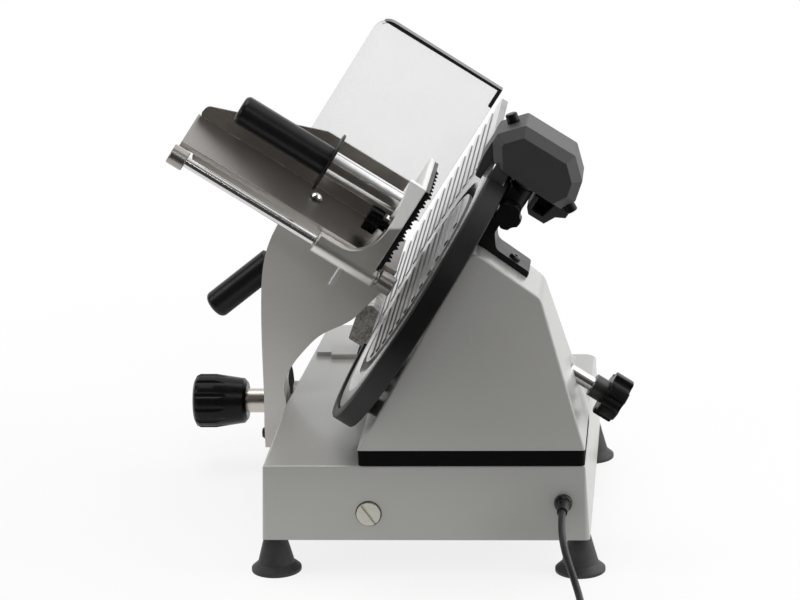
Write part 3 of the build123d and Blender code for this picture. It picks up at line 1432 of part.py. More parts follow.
# Strap round the coil
strap_low = coil_centre - COIL_OUTER - CORD_RADIUS - 0.8
strap_high = coil_centre - COIL_OUTER + 3 * COIL_PITCH + CORD_RADIUS + 0.8
strap_top = upper + CORD_RADIUS + 0.4
strap_base = COIL_LOW - CORD_RADIUS - 0.15
strap = block(
    (strap_low - TIE_STRAP, strap_high + TIE_STRAP),
    (COIL_Y - 5, COIL_Y + 5),
    (strap_base - TIE_STRAP, strap_top + TIE_STRAP),
)
strap = fillet(strap.edges().filter_by(Axis.Y), 2)
strap -= block((strap_low, strap_high), (COIL_Y - 6, COIL_Y + 6), (strap_base, strap_top))
nodes["cord_tie"] = strap

# Moulded three-pin plug
plug_start = COIL_Y - tail
plug_half = upper - 0.4
plug_wide = 13
sleeve_stop = plug_start - 14
plug_front = plug_start - 46
blade_tip = plug_start - 62
pin_tip = plug_start - 64
plug = loft(
    [
        Plane((here, plug_start, upper), x_dir=(1, 0, 0), z_dir=(0, -1, 0)) * Circle(CORD_RADIUS + 1.2),
        Plane((here, sleeve_stop, upper), x_dir=(1, 0, 0), z_dir=(0, -1, 0)) * Circle(CORD_RADIUS + 3),
    ]
)
plug_body = block((here - plug_wide, here + plug_wide), (plug_front, sleeve_stop), (0.4, upper + plug_half))
plug += fillet(plug_body.edges(), 3)
pins = [
    block((here - 7.15, here - 5.55), (blade_tip, plug_front), (upper - 1.4, upper + 4.9)),
    block((here + 5.55, here + 7.15), (blade_tip, plug_front), (upper - 1.4, upper + 4.9)),
    rod((here, plug_front, upper - 5.6), (here, pin_tip, upper - 5.6), 2.4),
]
nodes["plug"] = Part() + [plug] + pins

nodes["base"] = base_shell
nodes["motor_body"] = body

# The origin is the bottom centre of the object without its cord
centre_x = (nodes["dial_knob"].bounding_box().min.X + nodes["tie_rod_knob"].bounding_box().max.X) / 2
centre_y = (nodes["ring_guard"].bounding_box().min.Y + nodes["feet"].bounding_box().max.Y) / 2
print("origin", centre_x, centre_y)
for name, shape in nodes.items():
    export_step(Pos(-centre_x, -centre_y, 0) * shape, f"parts/{name}.step")
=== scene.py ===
import json
import math

import bmesh
import bpy
import numpy as np
from mathutils import Matrix, Vector


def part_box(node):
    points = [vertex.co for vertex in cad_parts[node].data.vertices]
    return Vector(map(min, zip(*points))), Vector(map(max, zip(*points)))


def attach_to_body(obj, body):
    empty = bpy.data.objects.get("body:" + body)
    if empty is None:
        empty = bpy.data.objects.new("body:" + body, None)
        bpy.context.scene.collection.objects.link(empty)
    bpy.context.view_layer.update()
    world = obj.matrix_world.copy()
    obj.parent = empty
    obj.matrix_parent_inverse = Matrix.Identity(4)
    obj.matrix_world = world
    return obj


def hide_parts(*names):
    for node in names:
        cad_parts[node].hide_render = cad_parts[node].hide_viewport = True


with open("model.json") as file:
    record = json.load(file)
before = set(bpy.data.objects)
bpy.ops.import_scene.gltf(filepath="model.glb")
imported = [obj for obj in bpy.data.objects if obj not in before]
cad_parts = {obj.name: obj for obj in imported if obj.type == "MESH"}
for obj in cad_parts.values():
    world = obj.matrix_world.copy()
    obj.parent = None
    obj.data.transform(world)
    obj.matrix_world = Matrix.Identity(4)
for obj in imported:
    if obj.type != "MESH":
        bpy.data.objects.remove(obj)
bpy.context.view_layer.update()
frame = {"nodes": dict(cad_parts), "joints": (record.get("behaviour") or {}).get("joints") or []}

# Camera
# A long lens looks down on the worktop at a low angle, turned slightly from the machine's near side, as in
# the photograph. Its place and turns are those that fit the base's edges and the blade's outline.
camera_turn = math.radians(5.597)
camera_dip = math.radians(16.797)
camera_roll = math.radians(-1.946)
camera_place = Vector((0.257885, -2.641894, 0.990729))
camera_range = 50
lens_length = 144
sensor_width = 36

look = Vector((
    -math.sin(camera_turn) * math.cos(camera_dip),
    math.cos(camera_turn) * math.cos(camera_dip),
    -math.sin(camera_dip),
))
level_right = Vector((math.cos(camera_turn), math.sin(camera_turn), 0))
level_up = level_right.cross(look)
picture_right = math.cos(camera_roll) * level_right + math.sin(camera_roll) * level_up
picture_up = math.cos(camera_roll) * level_up - math.sin(camera_roll) * level_right
camera_data = bpy.data.cameras.new("studio_camera")
camera_data.lens = lens_length
camera_data.sensor_width = sensor_width
camera_data.clip_end = camera_range
camera = bpy.data.objects.new("studio_camera", camera_data)
camera.matrix_world = Matrix((
    (picture_right.x, picture_up.x, -look.x, camera_place.x),
    (picture_right.y, picture_up.y, -look.y, camera_place.y),
    (picture_right.z, picture_up.z, -look.z, camera_place.z),
    (0, 0, 0, 1),
))
bpy.context.scene.collection.objects.link(camera)
bpy.context.scene.camera = camera
bpy.context.scene.view_settings.view_transform = "Standard"


# Worktop and light
# A white table that ends just in front of the machine, with soft boxes round it. The room behind the camera
# is dim, so metal that faces the camera shows dark and metal that faces the back shows the white backdrop.
class Paint:
    """A socket of a node tree. Sums, products and powers of it add Math nodes."""

    def __init__(self, tree, socket=None):
        self.tree = tree
        self.socket = socket

    def node(self, kind, settings=None, inputs=None, output=0):
        """Any node: its settings are set first, then the values or links of its sockets."""
        made = self.tree.nodes.new(kind)
        for name, value in (settings or {}).items():
            setattr(made, name, value)
        for name, value in (inputs or {}).items():
            self.feed(made.inputs[name], value)
        return Paint(self.tree, made.outputs[output])

    def feed(self, socket, value):
        """Links a socket to another, or sets its plain value."""
        if isinstance(value, Paint):
            self.tree.links.new(value.socket, socket)
        else:
            socket.default_value = value

    def math(self, operation, one, two=0.0):
        """A Math node on two values."""
        return self.node("ShaderNodeMath", {"operation": operation}, {0: one, 1: two})

    def __add__(self, other):
        return self.math("ADD", self, other)

    __radd__ = __add__

    def __sub__(self, other):
        return self.math("SUBTRACT", self, other)

    def __rsub__(self, other):
        return self.math("SUBTRACT", other, self)

    def __mul__(self, other):
        return self.math("MULTIPLY", self, other)

    __rmul__ = __mul__

    def __pow__(self, other):
        return self.math("POWER", self, other)

    def __abs__(self):
        return self.math("ABSOLUTE", self)

    def most(self, other):
        """The larger of two values."""
        return self.math("MAXIMUM", self, other)

    def rise(self, low, high):
        """0 below low, 1 above high and a smooth rise between them."""
        inputs = {"Value": self, "From Min": low, "From Max": high}
        return self.node("ShaderNodeMapRange", {"interpolation_type": "SMOOTHSTEP"}, inputs)

    def mix(self, one, two):
        """Colour between two colours or greys, by this value."""
        inputs = {0: self, 6: shade(one), 7: shade(two)}
        return self.node("ShaderNodeMix", {"data_type": "RGBA"}, inputs, 2)

    def vector(self, operation, other, output=0):
        """Difference, product or quotient with another vector, or their dot product."""
        return self.node("ShaderNodeVectorMath", {"operation": operation}, {0: self, 1: other}, output)

    def dot(self, direction):
        """How far this vector goes along a direction."""
        return self.vector("DOT_PRODUCT", direction, "Value")

    def length(self):
        """How long this vector is."""
        return self.node("ShaderNodeVectorMath", {"operation": "LENGTH"}, {0: self}, "Value")

    def noise(self, size, detail=2.0, stretch=(1, 1, 1)):
        """Soft noise from 0 to 1 with features of about this size in metres, stretched along the axes."""
        inputs = {"Vector": self.vector("DIVIDE", stretch), "Scale": 1 / size, "Detail": detail}
        return self.node("ShaderNodeTexNoise", None, inputs)


def shade(value):
    """Opaque colour from a grey or from red, green and blue. A node's colour stays as it is."""
    if isinstance(value, Paint):
        return value
    return (value, value, value, 1) if isinstance(value, (int, float)) else (*value, 1)


white = 1.0
table_near = -0.48
table_far = 9
table_half = 9
table_white = 0.80
table_lit = 0.9
shadow_reach = (0.45, 0.85)
table_mesh = bpy.data.meshes.new("worktop")
table_corners = [
    (-table_half, table_near, 0),
    (table_half, table_near, 0),
    (table_half, table_far, 0),
    (-table_half, table_far, 0),
]
table_mesh.from_pydata(table_corners, [], [(0, 1, 2, 3)])
table = bpy.data.objects.new("worktop", table_mesh)
bpy.context.scene.collection.objects.link(table)
table_paint = bpy.data.materials.new("worktop_white")
table_paint.use_nodes = True
table_tree = table_paint.node_tree
table_tree.nodes.clear()
start = Paint(table_tree)
away = start.node("ShaderNodeTexCoord", output="Object").length()
ray = start.node("ShaderNodeLightPath")
rays = ray.socket.node.outputs
seen = ray.most(Paint(table_tree, rays["Is Transmission Ray"])).most(Paint(table_tree, rays["Is Glossy Ray"]))
plain = table_white + (1 - table_white) * away.rise(*shadow_reach)
glow = start.node("ShaderNodeEmission", None, {"Color": shade(white), "Strength": 1.0})
lit = start.node("ShaderNodeBsdfDiffuse", None, {"Color": shade(table_lit)})
mixed = start.node("ShaderNodeMixShader", None, {0: seen * plain, 1: lit, 2: glow})
table_out = table_tree.nodes.new("ShaderNodeOutputMaterial")
table_tree.links.new(mixed.socket, table_out.inputs["Surface"])
table_mesh.materials.append(table_paint)

room_light = 0.50
room_dark = (0.055, 0.049, 0.043)
backdrop_way = (0.3, 1, 0.25)
backdrop_rise = (-0.05, 0.45)
wing_way = (1, 0, 0)
wing_rise = (0.35, 0.85)
wing_white = 0.75
world = bpy.data.worlds.new("studio")
world.use_nodes = True
bpy.context.scene.world = world
sky_tree = world.node_tree
sky_tree.nodes.clear()
start = Paint(sky_tree)
ray = start.node("ShaderNodeLightPath")
rays = ray.socket.node.outputs
towards = start.node("ShaderNodeTexCoord")
behind = towards.dot(backdrop_way).rise(*backdrop_rise)
beside = wing_white * towards.dot(wing_way).rise(*wing_rise)
mirrored = behind.most(beside).mix(room_dark, white)
for_gloss = Paint(sky_tree, rays["Is Glossy Ray"]).mix(room_light, mirrored)
straight = ray.most(Paint(sky_tree, rays["Is Transmission Ray"]))
sky = straight.mix(for_gloss, white)
sky_glow = start.node("ShaderNodeBackground", None, {"Color": sky, "Strength": 1.0})
sky_out = sky_tree.nodes.new("ShaderNodeOutputWorld")
sky_tree.links.new(sky_glow.socket, sky_out.inputs["Surface"])

# Each soft box: its place, its width and its power
aim = Vector((0, 0, 0.2))
soft_boxes = {
    "right_box": ((1.9, 0.25, 1.15), 2.2, 30),
    "back_box": ((0.8, 2.7, 1.15), 1.5, 5),
    "top_box": ((-0.3, 0.2, 2.2), 1.2, 13),
    "left_box": ((-1.9, -0.5, 1.2), 0.8, 7),
    "front_box": ((0.6, -2.4, 2.3), 0.8, 8.5),
}
for name, (spot, width, power) in soft_boxes.items():
    lamp = bpy.data.lights.new(name, "AREA")
    lamp.shape = "SQUARE"
    lamp.size = width
    lamp.energy = power
    box = bpy.data.objects.new(name, lamp)
    box.location = spot
    box.rotation_euler = (aim - Vector(spot)).to_track_quat("-Z", "Y").to_euler()
    bpy.context.scene.collection.objects.link(box)


# Rubber feet
# Bell-shaped feet of black rubber, moulded with a flat rim and screwed under the corners of the base.
# Dust dulls them in patches.
def new_finish(name, **constants):
    """A material with its plain values set. Gives the material, its shader and the place on the piece."""
    material = bpy.data.materials.new(name)
    material.use_nodes = True
    tree = material.node_tree
    shader = tree.nodes["Principled BSDF"]
    for socket, value in constants.items():
        shader.inputs[socket.replace("_", " ")].default_value = value
    place = Paint(tree).node("ShaderNodeTexCoord", output="Object")
    return material, shader, place


def apply_finish(shader, place, colour, roughness, relief=None, depth=0.0002, strength=1.0, edge=0.0):
    """Feeds a shader its colour, its roughness and its relief, which is depth metres deep.

    The edges of the piece look rounded, by a radius of edge metres.
    """
    place.feed(shader.inputs["Base Color"], colour)
    place.feed(shader.inputs["Roughness"], roughness)
    normal = place.node("ShaderNodeBevel", {"samples": 4}, {"Radius": edge}) if edge else None
    if relief is not None:
        inputs = {"Height": relief, "Distance": depth, "Strength": strength}
        if normal is not None:
            inputs["Normal"] = normal
        normal = place.node("ShaderNodeBump", None, inputs)
    if normal is not None:
        place.feed(shader.inputs["Normal"], normal)


def dress(material, *names):
    """Gives CAD nodes a finish."""
    for name in names:
        mesh = frame["nodes"][name].data
        mesh.materials.clear()
        mesh.materials.append(material)


rubber, shader, place = new_finish("foot_rubber", Specular_IOR_Level=0.5)
dust = place.noise(0.012, 3) ** 2
grain = place.noise(0.0007)
apply_finish(
    shader, place, dust.mix(0.014, 0.045), 0.46 + 0.2 * grain,
    relief=grain, depth=0.0002, strength=0.35, edge=0.0008,
)
dress(rubber, "feet")


# Base
# A sand-cast aluminium box, open below, dressed smooth and sprayed with a satin silver-grey enamel.
# Round each nickel-plated guide-rod cap a thin dark line is painted on the enamel, as painted shade in the
# gap at the cap's bore.
def enamel_tone(place, colour):
    """Silver enamel's colour, with slow clouds and fine flakes, its roughness and its relief."""
    cloud = place.noise(0.09)
    flake = place.noise(0.0006)
    peel = place.noise(0.0022, 3)
    low = tuple(0.94 * c for c in colour)
    high = tuple(1.06 * c for c in colour)
    tone = (0.55 * cloud + 0.45 * flake).mix(low, high)
    return tone, 0.30 + 0.12 * cloud, 0.6 * peel + 0.4 * flake


silver_grey = (0.39, 0.388, 0.372)
enamel_coat = {"Metallic": 0.15, "Coat_Weight": 0.35, "Coat_Roughness": 0.14}
enamel_skin = {"depth": 0.0001, "strength": 0.1, "edge": 0.0008}
cap_low, cap_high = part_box("guide_rod_caps")
cap_radius = (cap_high.x - cap_low.x) / 2
cap_line = 0.0011
bore_painted_shade = 0.004
enamel, shader, place = new_finish("silver_enamel", **enamel_coat)
tone, roughness, relief = enamel_tone(place, silver_grey)
# Painted shade: a thin dark ring on the enamel just round each cap
from_cap = place.vector("SUBTRACT", (cap_low + cap_high) / 2).vector("MULTIPLY", (1, 0, 1)).length()
outside = from_cap.rise(cap_radius + 0.6 * cap_line, cap_radius + 1.1 * cap_line)
apply_finish(shader, place, outside.mix(bore_painted_shade, tone), roughness, relief, **enamel_skin)
dress(enamel, "base")

cap_nickel, shader, place = new_finish("cap_nickel", Metallic=0.85)
mottle = place.noise(0.004, 3)
fine = place.noise(0.0004)
apply_finish(
    shader, place, mottle.mix((0.52, 0.51, 0.44), (0.68, 0.67, 0.59)), 0.42 + 0.12 * mottle,
    relief=fine, depth=0.00008, strength=0.3, edge=0.0005,
)
dress(cap_nickel, "guide_rod_caps")

# Bottom plate and carriage guide
# A zinc-plated sheet closes the base, held by four socket screws. The carriage runs on a ground steel rod in
# bronze bushes, and a nylon shoe on a flat rail keeps it upright.
zinc, shader, place = new_finish("zinc_sheet", Metallic=0.9)
spangle = place.noise(0.009, 3)
scratch = place.noise(0.0006, stretch=(18, 1, 1))
apply_finish(
    shader, place, spangle.mix(0.38, 0.56), 0.32 + 0.2 * scratch, relief=scratch, depth=0.0001, strength=0.2
)
dress(zinc, "bottom_plate", "support_rail")

ground_steel, shader, place = new_finish("ground_steel", Metallic=1.0)
turning = place.noise(0.0005, stretch=(1, 24, 1))
apply_finish(
    shader, place, turning.mix(0.60, 0.72), 0.16 + 0.14 * turning,
    relief=turning, depth=0.00005, strength=0.15,
)
dress(ground_steel, "guide_rod")

bronze, shader, place = new_finish("bush_bronze", Metallic=1.0)
turning = place.noise(0.0006, stretch=(1, 20, 1))
apply_finish(
    shader, place, turning.mix((0.42, 0.26, 0.11), (0.58, 0.38, 0.17)), 0.3 + 0.15 * turning,
    relief=turning, depth=0.00006, strength=0.2,
)
dress(bronze, "guide_bushes")

nylon, shader, place = new_finish("white_nylon")
fleck = place.noise(0.0009)
apply_finish(
    shader, place, fleck.mix(0.62, 0.72), 0.45 + 0.1 * fleck, relief=fleck, depth=0.0001, strength=0.15
)
dress(nylon, "slide_shoe")

ring_steps = 36
flat_to_flat = np.pi / 3
sharp_turn = math.radians(30)


def skin(name, stacks, material, body):
    """A piece from stacks of closed loops of points.

    Quads join each loop to the next, and the first and last loop of a stack are closed by a face.
    """
    points = np.concatenate([stack.reshape(-1, 3) for stack in stacks])
    faces = []
    first = 0
    for stack in stacks:
        index = first + np.arange(stack.shape[0] * stack.shape[1]).reshape(stack.shape[:2])
        beside = np.roll(index, -1, axis=1)
        quads = np.stack([index[:-1], beside[:-1], beside[1:], index[1:]], axis=-1).reshape(-1, 4)
        faces += quads.tolist() + [index[0, ::-1].tolist(), index[-1].tolist()]
        first += index.size
    mesh = bpy.data.meshes.new(name)
    mesh.from_pydata(points.tolist(), [], faces)
    mesh.shade_smooth()
    mesh.set_sharp_from_angle(angle=sharp_turn)
    mesh.materials.append(material)
    attach(name, mesh, body)


def attach(name, mesh, body):
    """Puts a new mesh in the scene as a piece that rides a body."""
    piece = bpy.data.objects.new(name, mesh)
    bpy.context.scene.collection.objects.link(piece)
    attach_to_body(piece, body)


def turned_head(rings, spot, axis):
    """Loops of a turned head, from rings of (radius, height, six-sided or not).

    A point is the spot, plus its height along the axis, plus its radius round the axis. On a six-sided ring
    the radius is that of the flats divided by the cosine of the angle from the middle of the nearest flat.
    """
    axis = np.array(axis) / np.linalg.norm(axis)
    side = np.cross(axis, (1.0, 0.0, 0.0) if abs(axis[1]) > 0.9 else (0.0, 1.0, 0.0))
    side /= np.linalg.norm(side)
    angle = np.linspace(0, 2 * np.pi, ring_steps, endpoint=False)
    round_axis = np.outer(np.cos(angle), side) + np.outer(np.sin(angle), np.cross(axis, side))
    to_flat = 1 / np.cos((angle + flat_to_flat / 2) % flat_to_flat - flat_to_flat / 2)
    radius, height, sided = (np.array(column, dtype=float) for column in zip(*rings))
    reach = radius[:, None] * np.where(sided[:, None] > 0, to_flat, 1.0)
    return np.array(spot) + reach[:, :, None] * round_axis + height[:, None, None] * axis


def socket_head(radius, height):
    """Rings of a round head with a six-sided socket, from its seat up and into the socket."""
    key = 0.38 * radius
    return [
        (radius, 0, 0),
        (radius, 0.6 * height, 0),
        (0.75 * radius, height, 0),
        (key, height, 1),
        (key, 0.35 * height, 1),
    ]


screw_zinc, shader, place = new_finish("screw_zinc", Metallic=1.0)
turning = place.noise(0.0004)
apply_finish(
    shader, place, turning.mix(0.42, 0.60), 0.28 + 0.14 * turning, relief=turning, depth=0.00004, strength=0.2
)
plate_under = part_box("bottom_plate")[0].z
base_low, base_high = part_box("base")
near_screws = base_low.y + 0.012
plate_screws = [
    (base_low.x + 0.060, near_screws, plate_under),
    (base_low.x + 0.150, near_screws, plate_under),
    (base_high.x - 0.008, base_low.y + 0.150, plate_under),
    (base_low.x + 0.120, base_high.y - 0.040, plate_under),
]
plate_head = socket_head(radius=0.0042, height=0.0026)
heads = [turned_head(plate_head, spot, (0, 0, -1)) for spot in plate_screws]
skin("bottom_plate_screws", heads, screw_zinc, "frame")

# Mains cord
# Black rubber-sheathed flex from a ribbed, moulded gland, laid down to the worktop into a strapped coil.
# It ends in a moulded plug with three plain brass pins.
sheath, shader, place = new_finish("cord_sheath", Specular_IOR_Level=0.5)
scuff = place.noise(0.006, 3)
grain = place.noise(0.0008)
apply_finish(
    shader, place, scuff.mix(0.012, 0.03), 0.38 + 0.18 * scuff, relief=grain, depth=0.0001, strength=0.25
)
dress(sheath, "cord_tie")

rib_pitch = 0.0032
gland_black, shader, place = new_finish("gland_black", Specular_IOR_Level=0.5)
wear = place.noise(0.004, 3)
ribs = place.math("SINE", place.dot((0, 1, 0)) * (2 * math.pi / rib_pitch))
apply_finish(
    shader, place, wear.mix(0.003, 0.008), 0.22 + 0.12 * wear, relief=ribs, depth=0.0006, strength=0.5
)
dress(gland_black, "cord_gland")

pin_length = 0.018
pin_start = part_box("plug")[0].y + pin_length
# Two finishes on one piece meet within this width
finish_edge = 0.0001
moulding, shader, place = new_finish("plug_moulding")
scuff = place.noise(0.006, 3)
grain = place.noise(0.0008)
on_pin = 1 - place.dot((0, 1, 0)).rise(pin_start - finish_edge, pin_start)
body_tone = scuff.mix(0.012, 0.03)
pin_tone = scuff.mix((0.55, 0.40, 0.17), (0.68, 0.52, 0.25))
apply_finish(
    shader, place, on_pin.mix(body_tone, pin_tone), 0.40 + 0.15 * scuff - 0.15 * on_pin,
    relief=grain, depth=0.0001, strength=0.2,
)
place.feed(shader.inputs["Metallic"], on_pin)
dress(moulding, "plug")

cord_radius = 0.003
gland_low, gland_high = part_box("cord_gland")
gland_x = (gland_low.x + gland_high.x) / 2
gland_z = (gland_low.z + gland_high.z) / 2
gland_end = gland_low.y
coil_low = 0.0044
coil_layer = 0.0066
coil_outer = 0.045
coil_pitch = 0.0065
coil_half_turns = 6
coil_tail = 0.024
coil_x = gland_x + 0.019
coil_y = gland_end - 0.120
route = [
    (gland_x, gland_end + 0.008, gland_z),
    (gland_x, gland_end - 0.022, gland_z),
    (gland_x + 0.0025, gland_end - 0.043, gland_z - 0.015),
    (gland_x + 0.014, gland_end - 0.053, gland_z - 0.047),
    (coil_x, gland_end - 0.072, coil_low),
    (coil_x, coil_y + 0.006, coil_low),
]
points_per_half = 12
# A spline's curve runs inside its control points, so the points of a turn stand out by this share
stand_out = 1 / (0.75 + 0.25 * math.cos(math.pi / points_per_half))


def half_turn(start_x, side, radius, low, high):
    """Points of half a turn from start_x: x and y go round a circle and z climbs as a half cosine."""
    angle = np.pi * (np.arange(points_per_half) + 0.5) / points_per_half
    x = start_x + side * radius - side * radius * stand_out * np.cos(angle)
    y = coil_y + side * radius * stand_out * np.sin(angle)
    z = low + (high - low) * (1 - np.cos(angle)) / 2
    return np.stack([x, y, z], axis=1)


coil_high = coil_low + coil_layer
coil_points = []
here = coil_x
side = -1
radius = coil_outer
for turn in range(2 * coil_half_turns):
    low = coil_low if turn <= coil_half_turns else coil_high
    high = coil_low if turn < coil_half_turns else coil_high
    coil_points.append(half_turn(here, side, radius, low, high))
    here += 2 * side * radius
    side = -side
    radius += (-1 if turn < coil_half_turns else 1) * coil_pitch / 2
tail = [(here, coil_y, coil_high), (here, coil_y - coil_tail, coil_high)]
cord_points = np.vstack([route, *coil_points, tail])
cord_curve = bpy.data.curves.new("mains_cord", "CURVE")
cord_curve.dimensions = "3D"
cord_curve.bevel_depth = cord_radius
cord_curve.bevel_resolution = 5
cord_curve.use_fill_caps = True
cord_line = cord_curve.splines.new("NURBS")
cord_line.points.add(len(cord_points) - 1)
cord_line.points.foreach_set("co", np.hstack([cord_points, np.ones((len(cord_points), 1))]).ravel())
cord_line.order_u = 3
cord_line.use_endpoint_u = True
cord_line.resolution_u = 6
cord_curve.materials.append(sheath)
mains_cord = bpy.data.objects.new("mains_cord", cord_curve)
bpy.context.scene.collection.objects.link(mains_cord)
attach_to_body(mains_cord, "frame")
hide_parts("cord", "cord_coil")

# Motor
# A small induction motor with a finned, varnished iron frame hangs inside the housing. Its zinc-plated shaft
# and pulley drive the blade by a rubber belt, and its run capacitor is a white plastic can.
iron, shader, place = new_finish("motor_iron", Metallic=0.6)
cast = place.noise(0.0015, 3)
apply_finish(shader, place, cast.mix(0.05, 0.10), 0.5 + 0.2 * cast, relief=cast, depth=0.0002, strength=0.3)
dress(iron, "motor")
belt, shader, place = new_finish("belt_rubber")
weave = place.noise(0.001, stretch=(1, 5, 1))
apply_finish(
    shader, place, weave.mix(0.012, 0.03), 0.6 + 0.15 * weave, relief=weave, depth=0.0002, strength=0.3
)
dress(belt, "drive_belt")
dress(zinc, "motor_shaft")
dress(nylon, "capacitor")

# Motor housing and gasket
# An aluminium casting in the same enamel as the base, cast in one with the boss of the blade's bearings.
# It stands on a thick gasket of soft black rubber.
housing_enamel, shader, place = new_finish("housing_enamel", **enamel_coat)
tone, roughness, relief = enamel_tone(place, silver_grey)
apply_finish(shader, place, tone, roughness, relief, **enamel_skin)
dress(housing_enamel, "motor_body")

soft_rubber, shader, place = new_finish("gasket_rubber", Specular_IOR_Level=0.1)
bloom = place.noise(0.01, 3)
grain = place.noise(0.0008)
apply_finish(
    shader, place, bloom.mix(0.0015, 0.003), 0.75 + 0.15 * grain, relief=grain, depth=0.0001, strength=0.3
)
dress(soft_rubber, "body_gasket")

# Blade
# A dished disc of hardened steel, turned and polished in rings, with a ground bevel that shows darker. Four
# low socket screws hold it on the flange of its zinc-plated shaft, which runs in two ground bearings.
joints = {joint["name"]: joint for joint in frame["joints"]}
blade_centre = Vector(joints["blade_spin"]["pos_m"])
out = Vector(joints["blade_spin"]["axis"])
along = Vector(joints["sharpener_lift"]["axis"])
far = Vector((0, 1, 0))
bevel_start = 0.110
bevel_turn = 0.0005
bevel_grey = 0.34
rings_per_metre = 2600.0


def from_blade(place, direction):
    """How far a place lies from the blade's centre along a direction."""
    return place.vector("SUBTRACT", blade_centre).dot(direction)


def blade_spot(y, up, off):
    """Points from their Y, their heights up the blade and their distances off it, as numbers or arrays.

    A point is the blade's centre at that Y, plus the height along the blade, plus the distance along its
    axis.
    """
    y, up, off = np.broadcast_arrays(y, up, off)
    level = np.stack([np.full(y.shape, blade_centre.x), y, np.full(y.shape, blade_centre.z)], axis=-1)
    return level + up[..., None] * np.array(along) + off[..., None] * np.array(out)


blade_steel, shader, place = new_finish("blade_steel", Metallic=1.0)
ring = (from_blade(place, along) ** 2 + from_blade(place, far) ** 2) ** 0.5
rings = place.node(
    "ShaderNodeTexNoise", {"noise_dimensions": "1D"}, {"W": ring, "Scale": rings_per_metre, "Detail": 3.0}
)
on_bevel = ring.rise(bevel_start - bevel_turn, bevel_start + bevel_turn)
apply_finish(
    shader, place, on_bevel.mix(rings.mix(0.46, 0.62), bevel_grey), 0.16 + 0.12 * rings + 0.1 * on_bevel,
    relief=rings, depth=0.00004, strength=0.3,
)
dress(blade_steel, "blade")
dress(zinc, "blade_shaft")
dress(ground_steel, "blade_bearings")

screw_circle = 0.030
dish_floor = -0.010
blade_head = socket_head(radius=0.0042, height=0.0009)
blade_screws = []
for turn in np.radians((45, 135, 225, 315)):
    y = blade_centre.y + screw_circle * math.cos(turn)
    spot = blade_spot(y, screw_circle * math.sin(turn), dish_floor)
    blade_screws.append(turned_head(blade_head, spot, out))
skin("blade_screws", blade_screws, screw_zinc, "blade_unit")

# Ring guard
# A glass-filled nylon ring round the blade, moulded black with a fine grain. It stands on two lugs against
# the housing, and the lower lug has a hexagon nut on the end of its bolt.
nylon_black, shader, place = new_finish("guard_nylon", Specular_IOR_Level=0.22)
rub = place.noise(0.02, 3)
grain = place.noise(0.0006)
apply_finish(
    shader, place, rub.mix(0.004, 0.009), 0.32 + 0.14 * rub,
    relief=grain, depth=0.00012, strength=0.3, edge=0.0008,
)
dress(nylon_black, "ring_guard")

ring_low, ring_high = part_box("ring_guard")
ring_radius = (ring_high.y - ring_low.y) / 2
lug_turn = math.radians(-98)
lug_circle = ring_radius - 0.012
lug_half = 0.0075
lug_out = -0.0270
lug_y = blade_centre.y - lug_circle * math.cos(lug_turn) - lug_half
nut = [
    (0.0044, -0.0005, 1),
    (0.0044, 0.0030, 1),
    (0.0036, 0.0036, 0),
    (0.0022, 0.0036, 0),
    (0.0022, 0.0060, 0),
    (0.0014, 0.0066, 0),
]
lug_nut = turned_head(nut, blade_spot(lug_y, lug_circle * math.sin(lug_turn), lug_out), -far)
skin("ring_nut", [lug_nut], screw_zinc, "frame")

# Blade cover and gauge plate
# Cast aluminium faces with milled ridges that keep the food from sticking, bright anodised. The flanks of the
# ridges are painted much darker than the flat faces, as painted shade.
flank_painted_shade = 0.17
face_turn = (0.80, 0.97)
anodised, shader, place = new_finish("anodised_ridges", Metallic=1.0)
brush = place.noise(0.0005, 3, (1, 30, 1))
patch = place.noise(0.03)
# Painted shade: faces turned away from the blade's axis, the ridges' flanks, take a dark grey
flat = abs(place.node("ShaderNodeNewGeometry", output="True Normal").dot(out)).rise(*face_turn)
bright = (0.5 * brush + 0.5 * patch).mix(0.66, 0.86)
apply_finish(
    shader, place, flat.mix(flank_painted_shade, bright), 0.20 + 0.12 * brush + 0.15 * patch,
    relief=brush, depth=0.00006, strength=0.3, edge=0.0003,
)
dress(anodised, "blade_cover", "gauge_plate")

# Tie rod
# A polished steel rod through the hollow blade shaft pulls the cover home. Its collar is blackened and
# carries a lobed knob of black phenolic.
tie_collar_start = -0.1739
collar_black = 0.012
tie_steel, shader, place = new_finish("tie_steel")
haze = place.noise(0.008, 3)
shank = from_blade(place, out).rise(tie_collar_start - finish_edge, tie_collar_start)
apply_finish(
    shader, place, shank.mix(collar_black, haze.mix(0.60, 0.74)), 0.30 + 0.10 * haze - 0.20 * shank,
    edge=0.0004,
)
place.feed(shader.inputs["Metallic"], shank)
dress(tie_steel, "tie_rod")

phenolic, shader, place = new_finish("knob_phenolic", Specular_IOR_Level=0.16)
wear = place.noise(0.01, 3)
fine = place.noise(0.0005)
apply_finish(
    shader, place, wear.mix(0.003, 0.007), 0.20 + 0.14 * wear,
    relief=fine, depth=0.00008, strength=0.2, edge=0.0008,
)
dress(phenolic, "tie_rod_knob")

# Sharpener
# A charcoal moulded hood slides on a ground post in a black bracket, whose foot a socket screw holds on the
# housing's slope. It carries two small stones on spindles, with a black push button for each.
charcoal, shader, place = new_finish("charcoal_moulding", Specular_IOR_Level=0.55)
cloud = place.noise(0.03)
grain = place.noise(0.0008)
apply_finish(
    shader, place, cloud.mix(0.024, 0.034), 0.46 + 0.1 * grain,
    relief=grain, depth=0.00012, strength=0.3, edge=0.0012,
)
dress(charcoal, "sharpener_housing")
dress(nylon_black, "sharpener_bracket")
dress(phenolic, "sharpener_knob", "grind_button", "truing_button")
dress(ground_steel, "sharpener_post")
grit, shader, place = new_finish("grit_grey")
speck = place.noise(0.0004)
apply_finish(shader, place, speck.mix(0.30, 0.6), 0.9, relief=speck, depth=0.0003, strength=0.6)
dress(grit, "grinding_stone", "truing_stone")

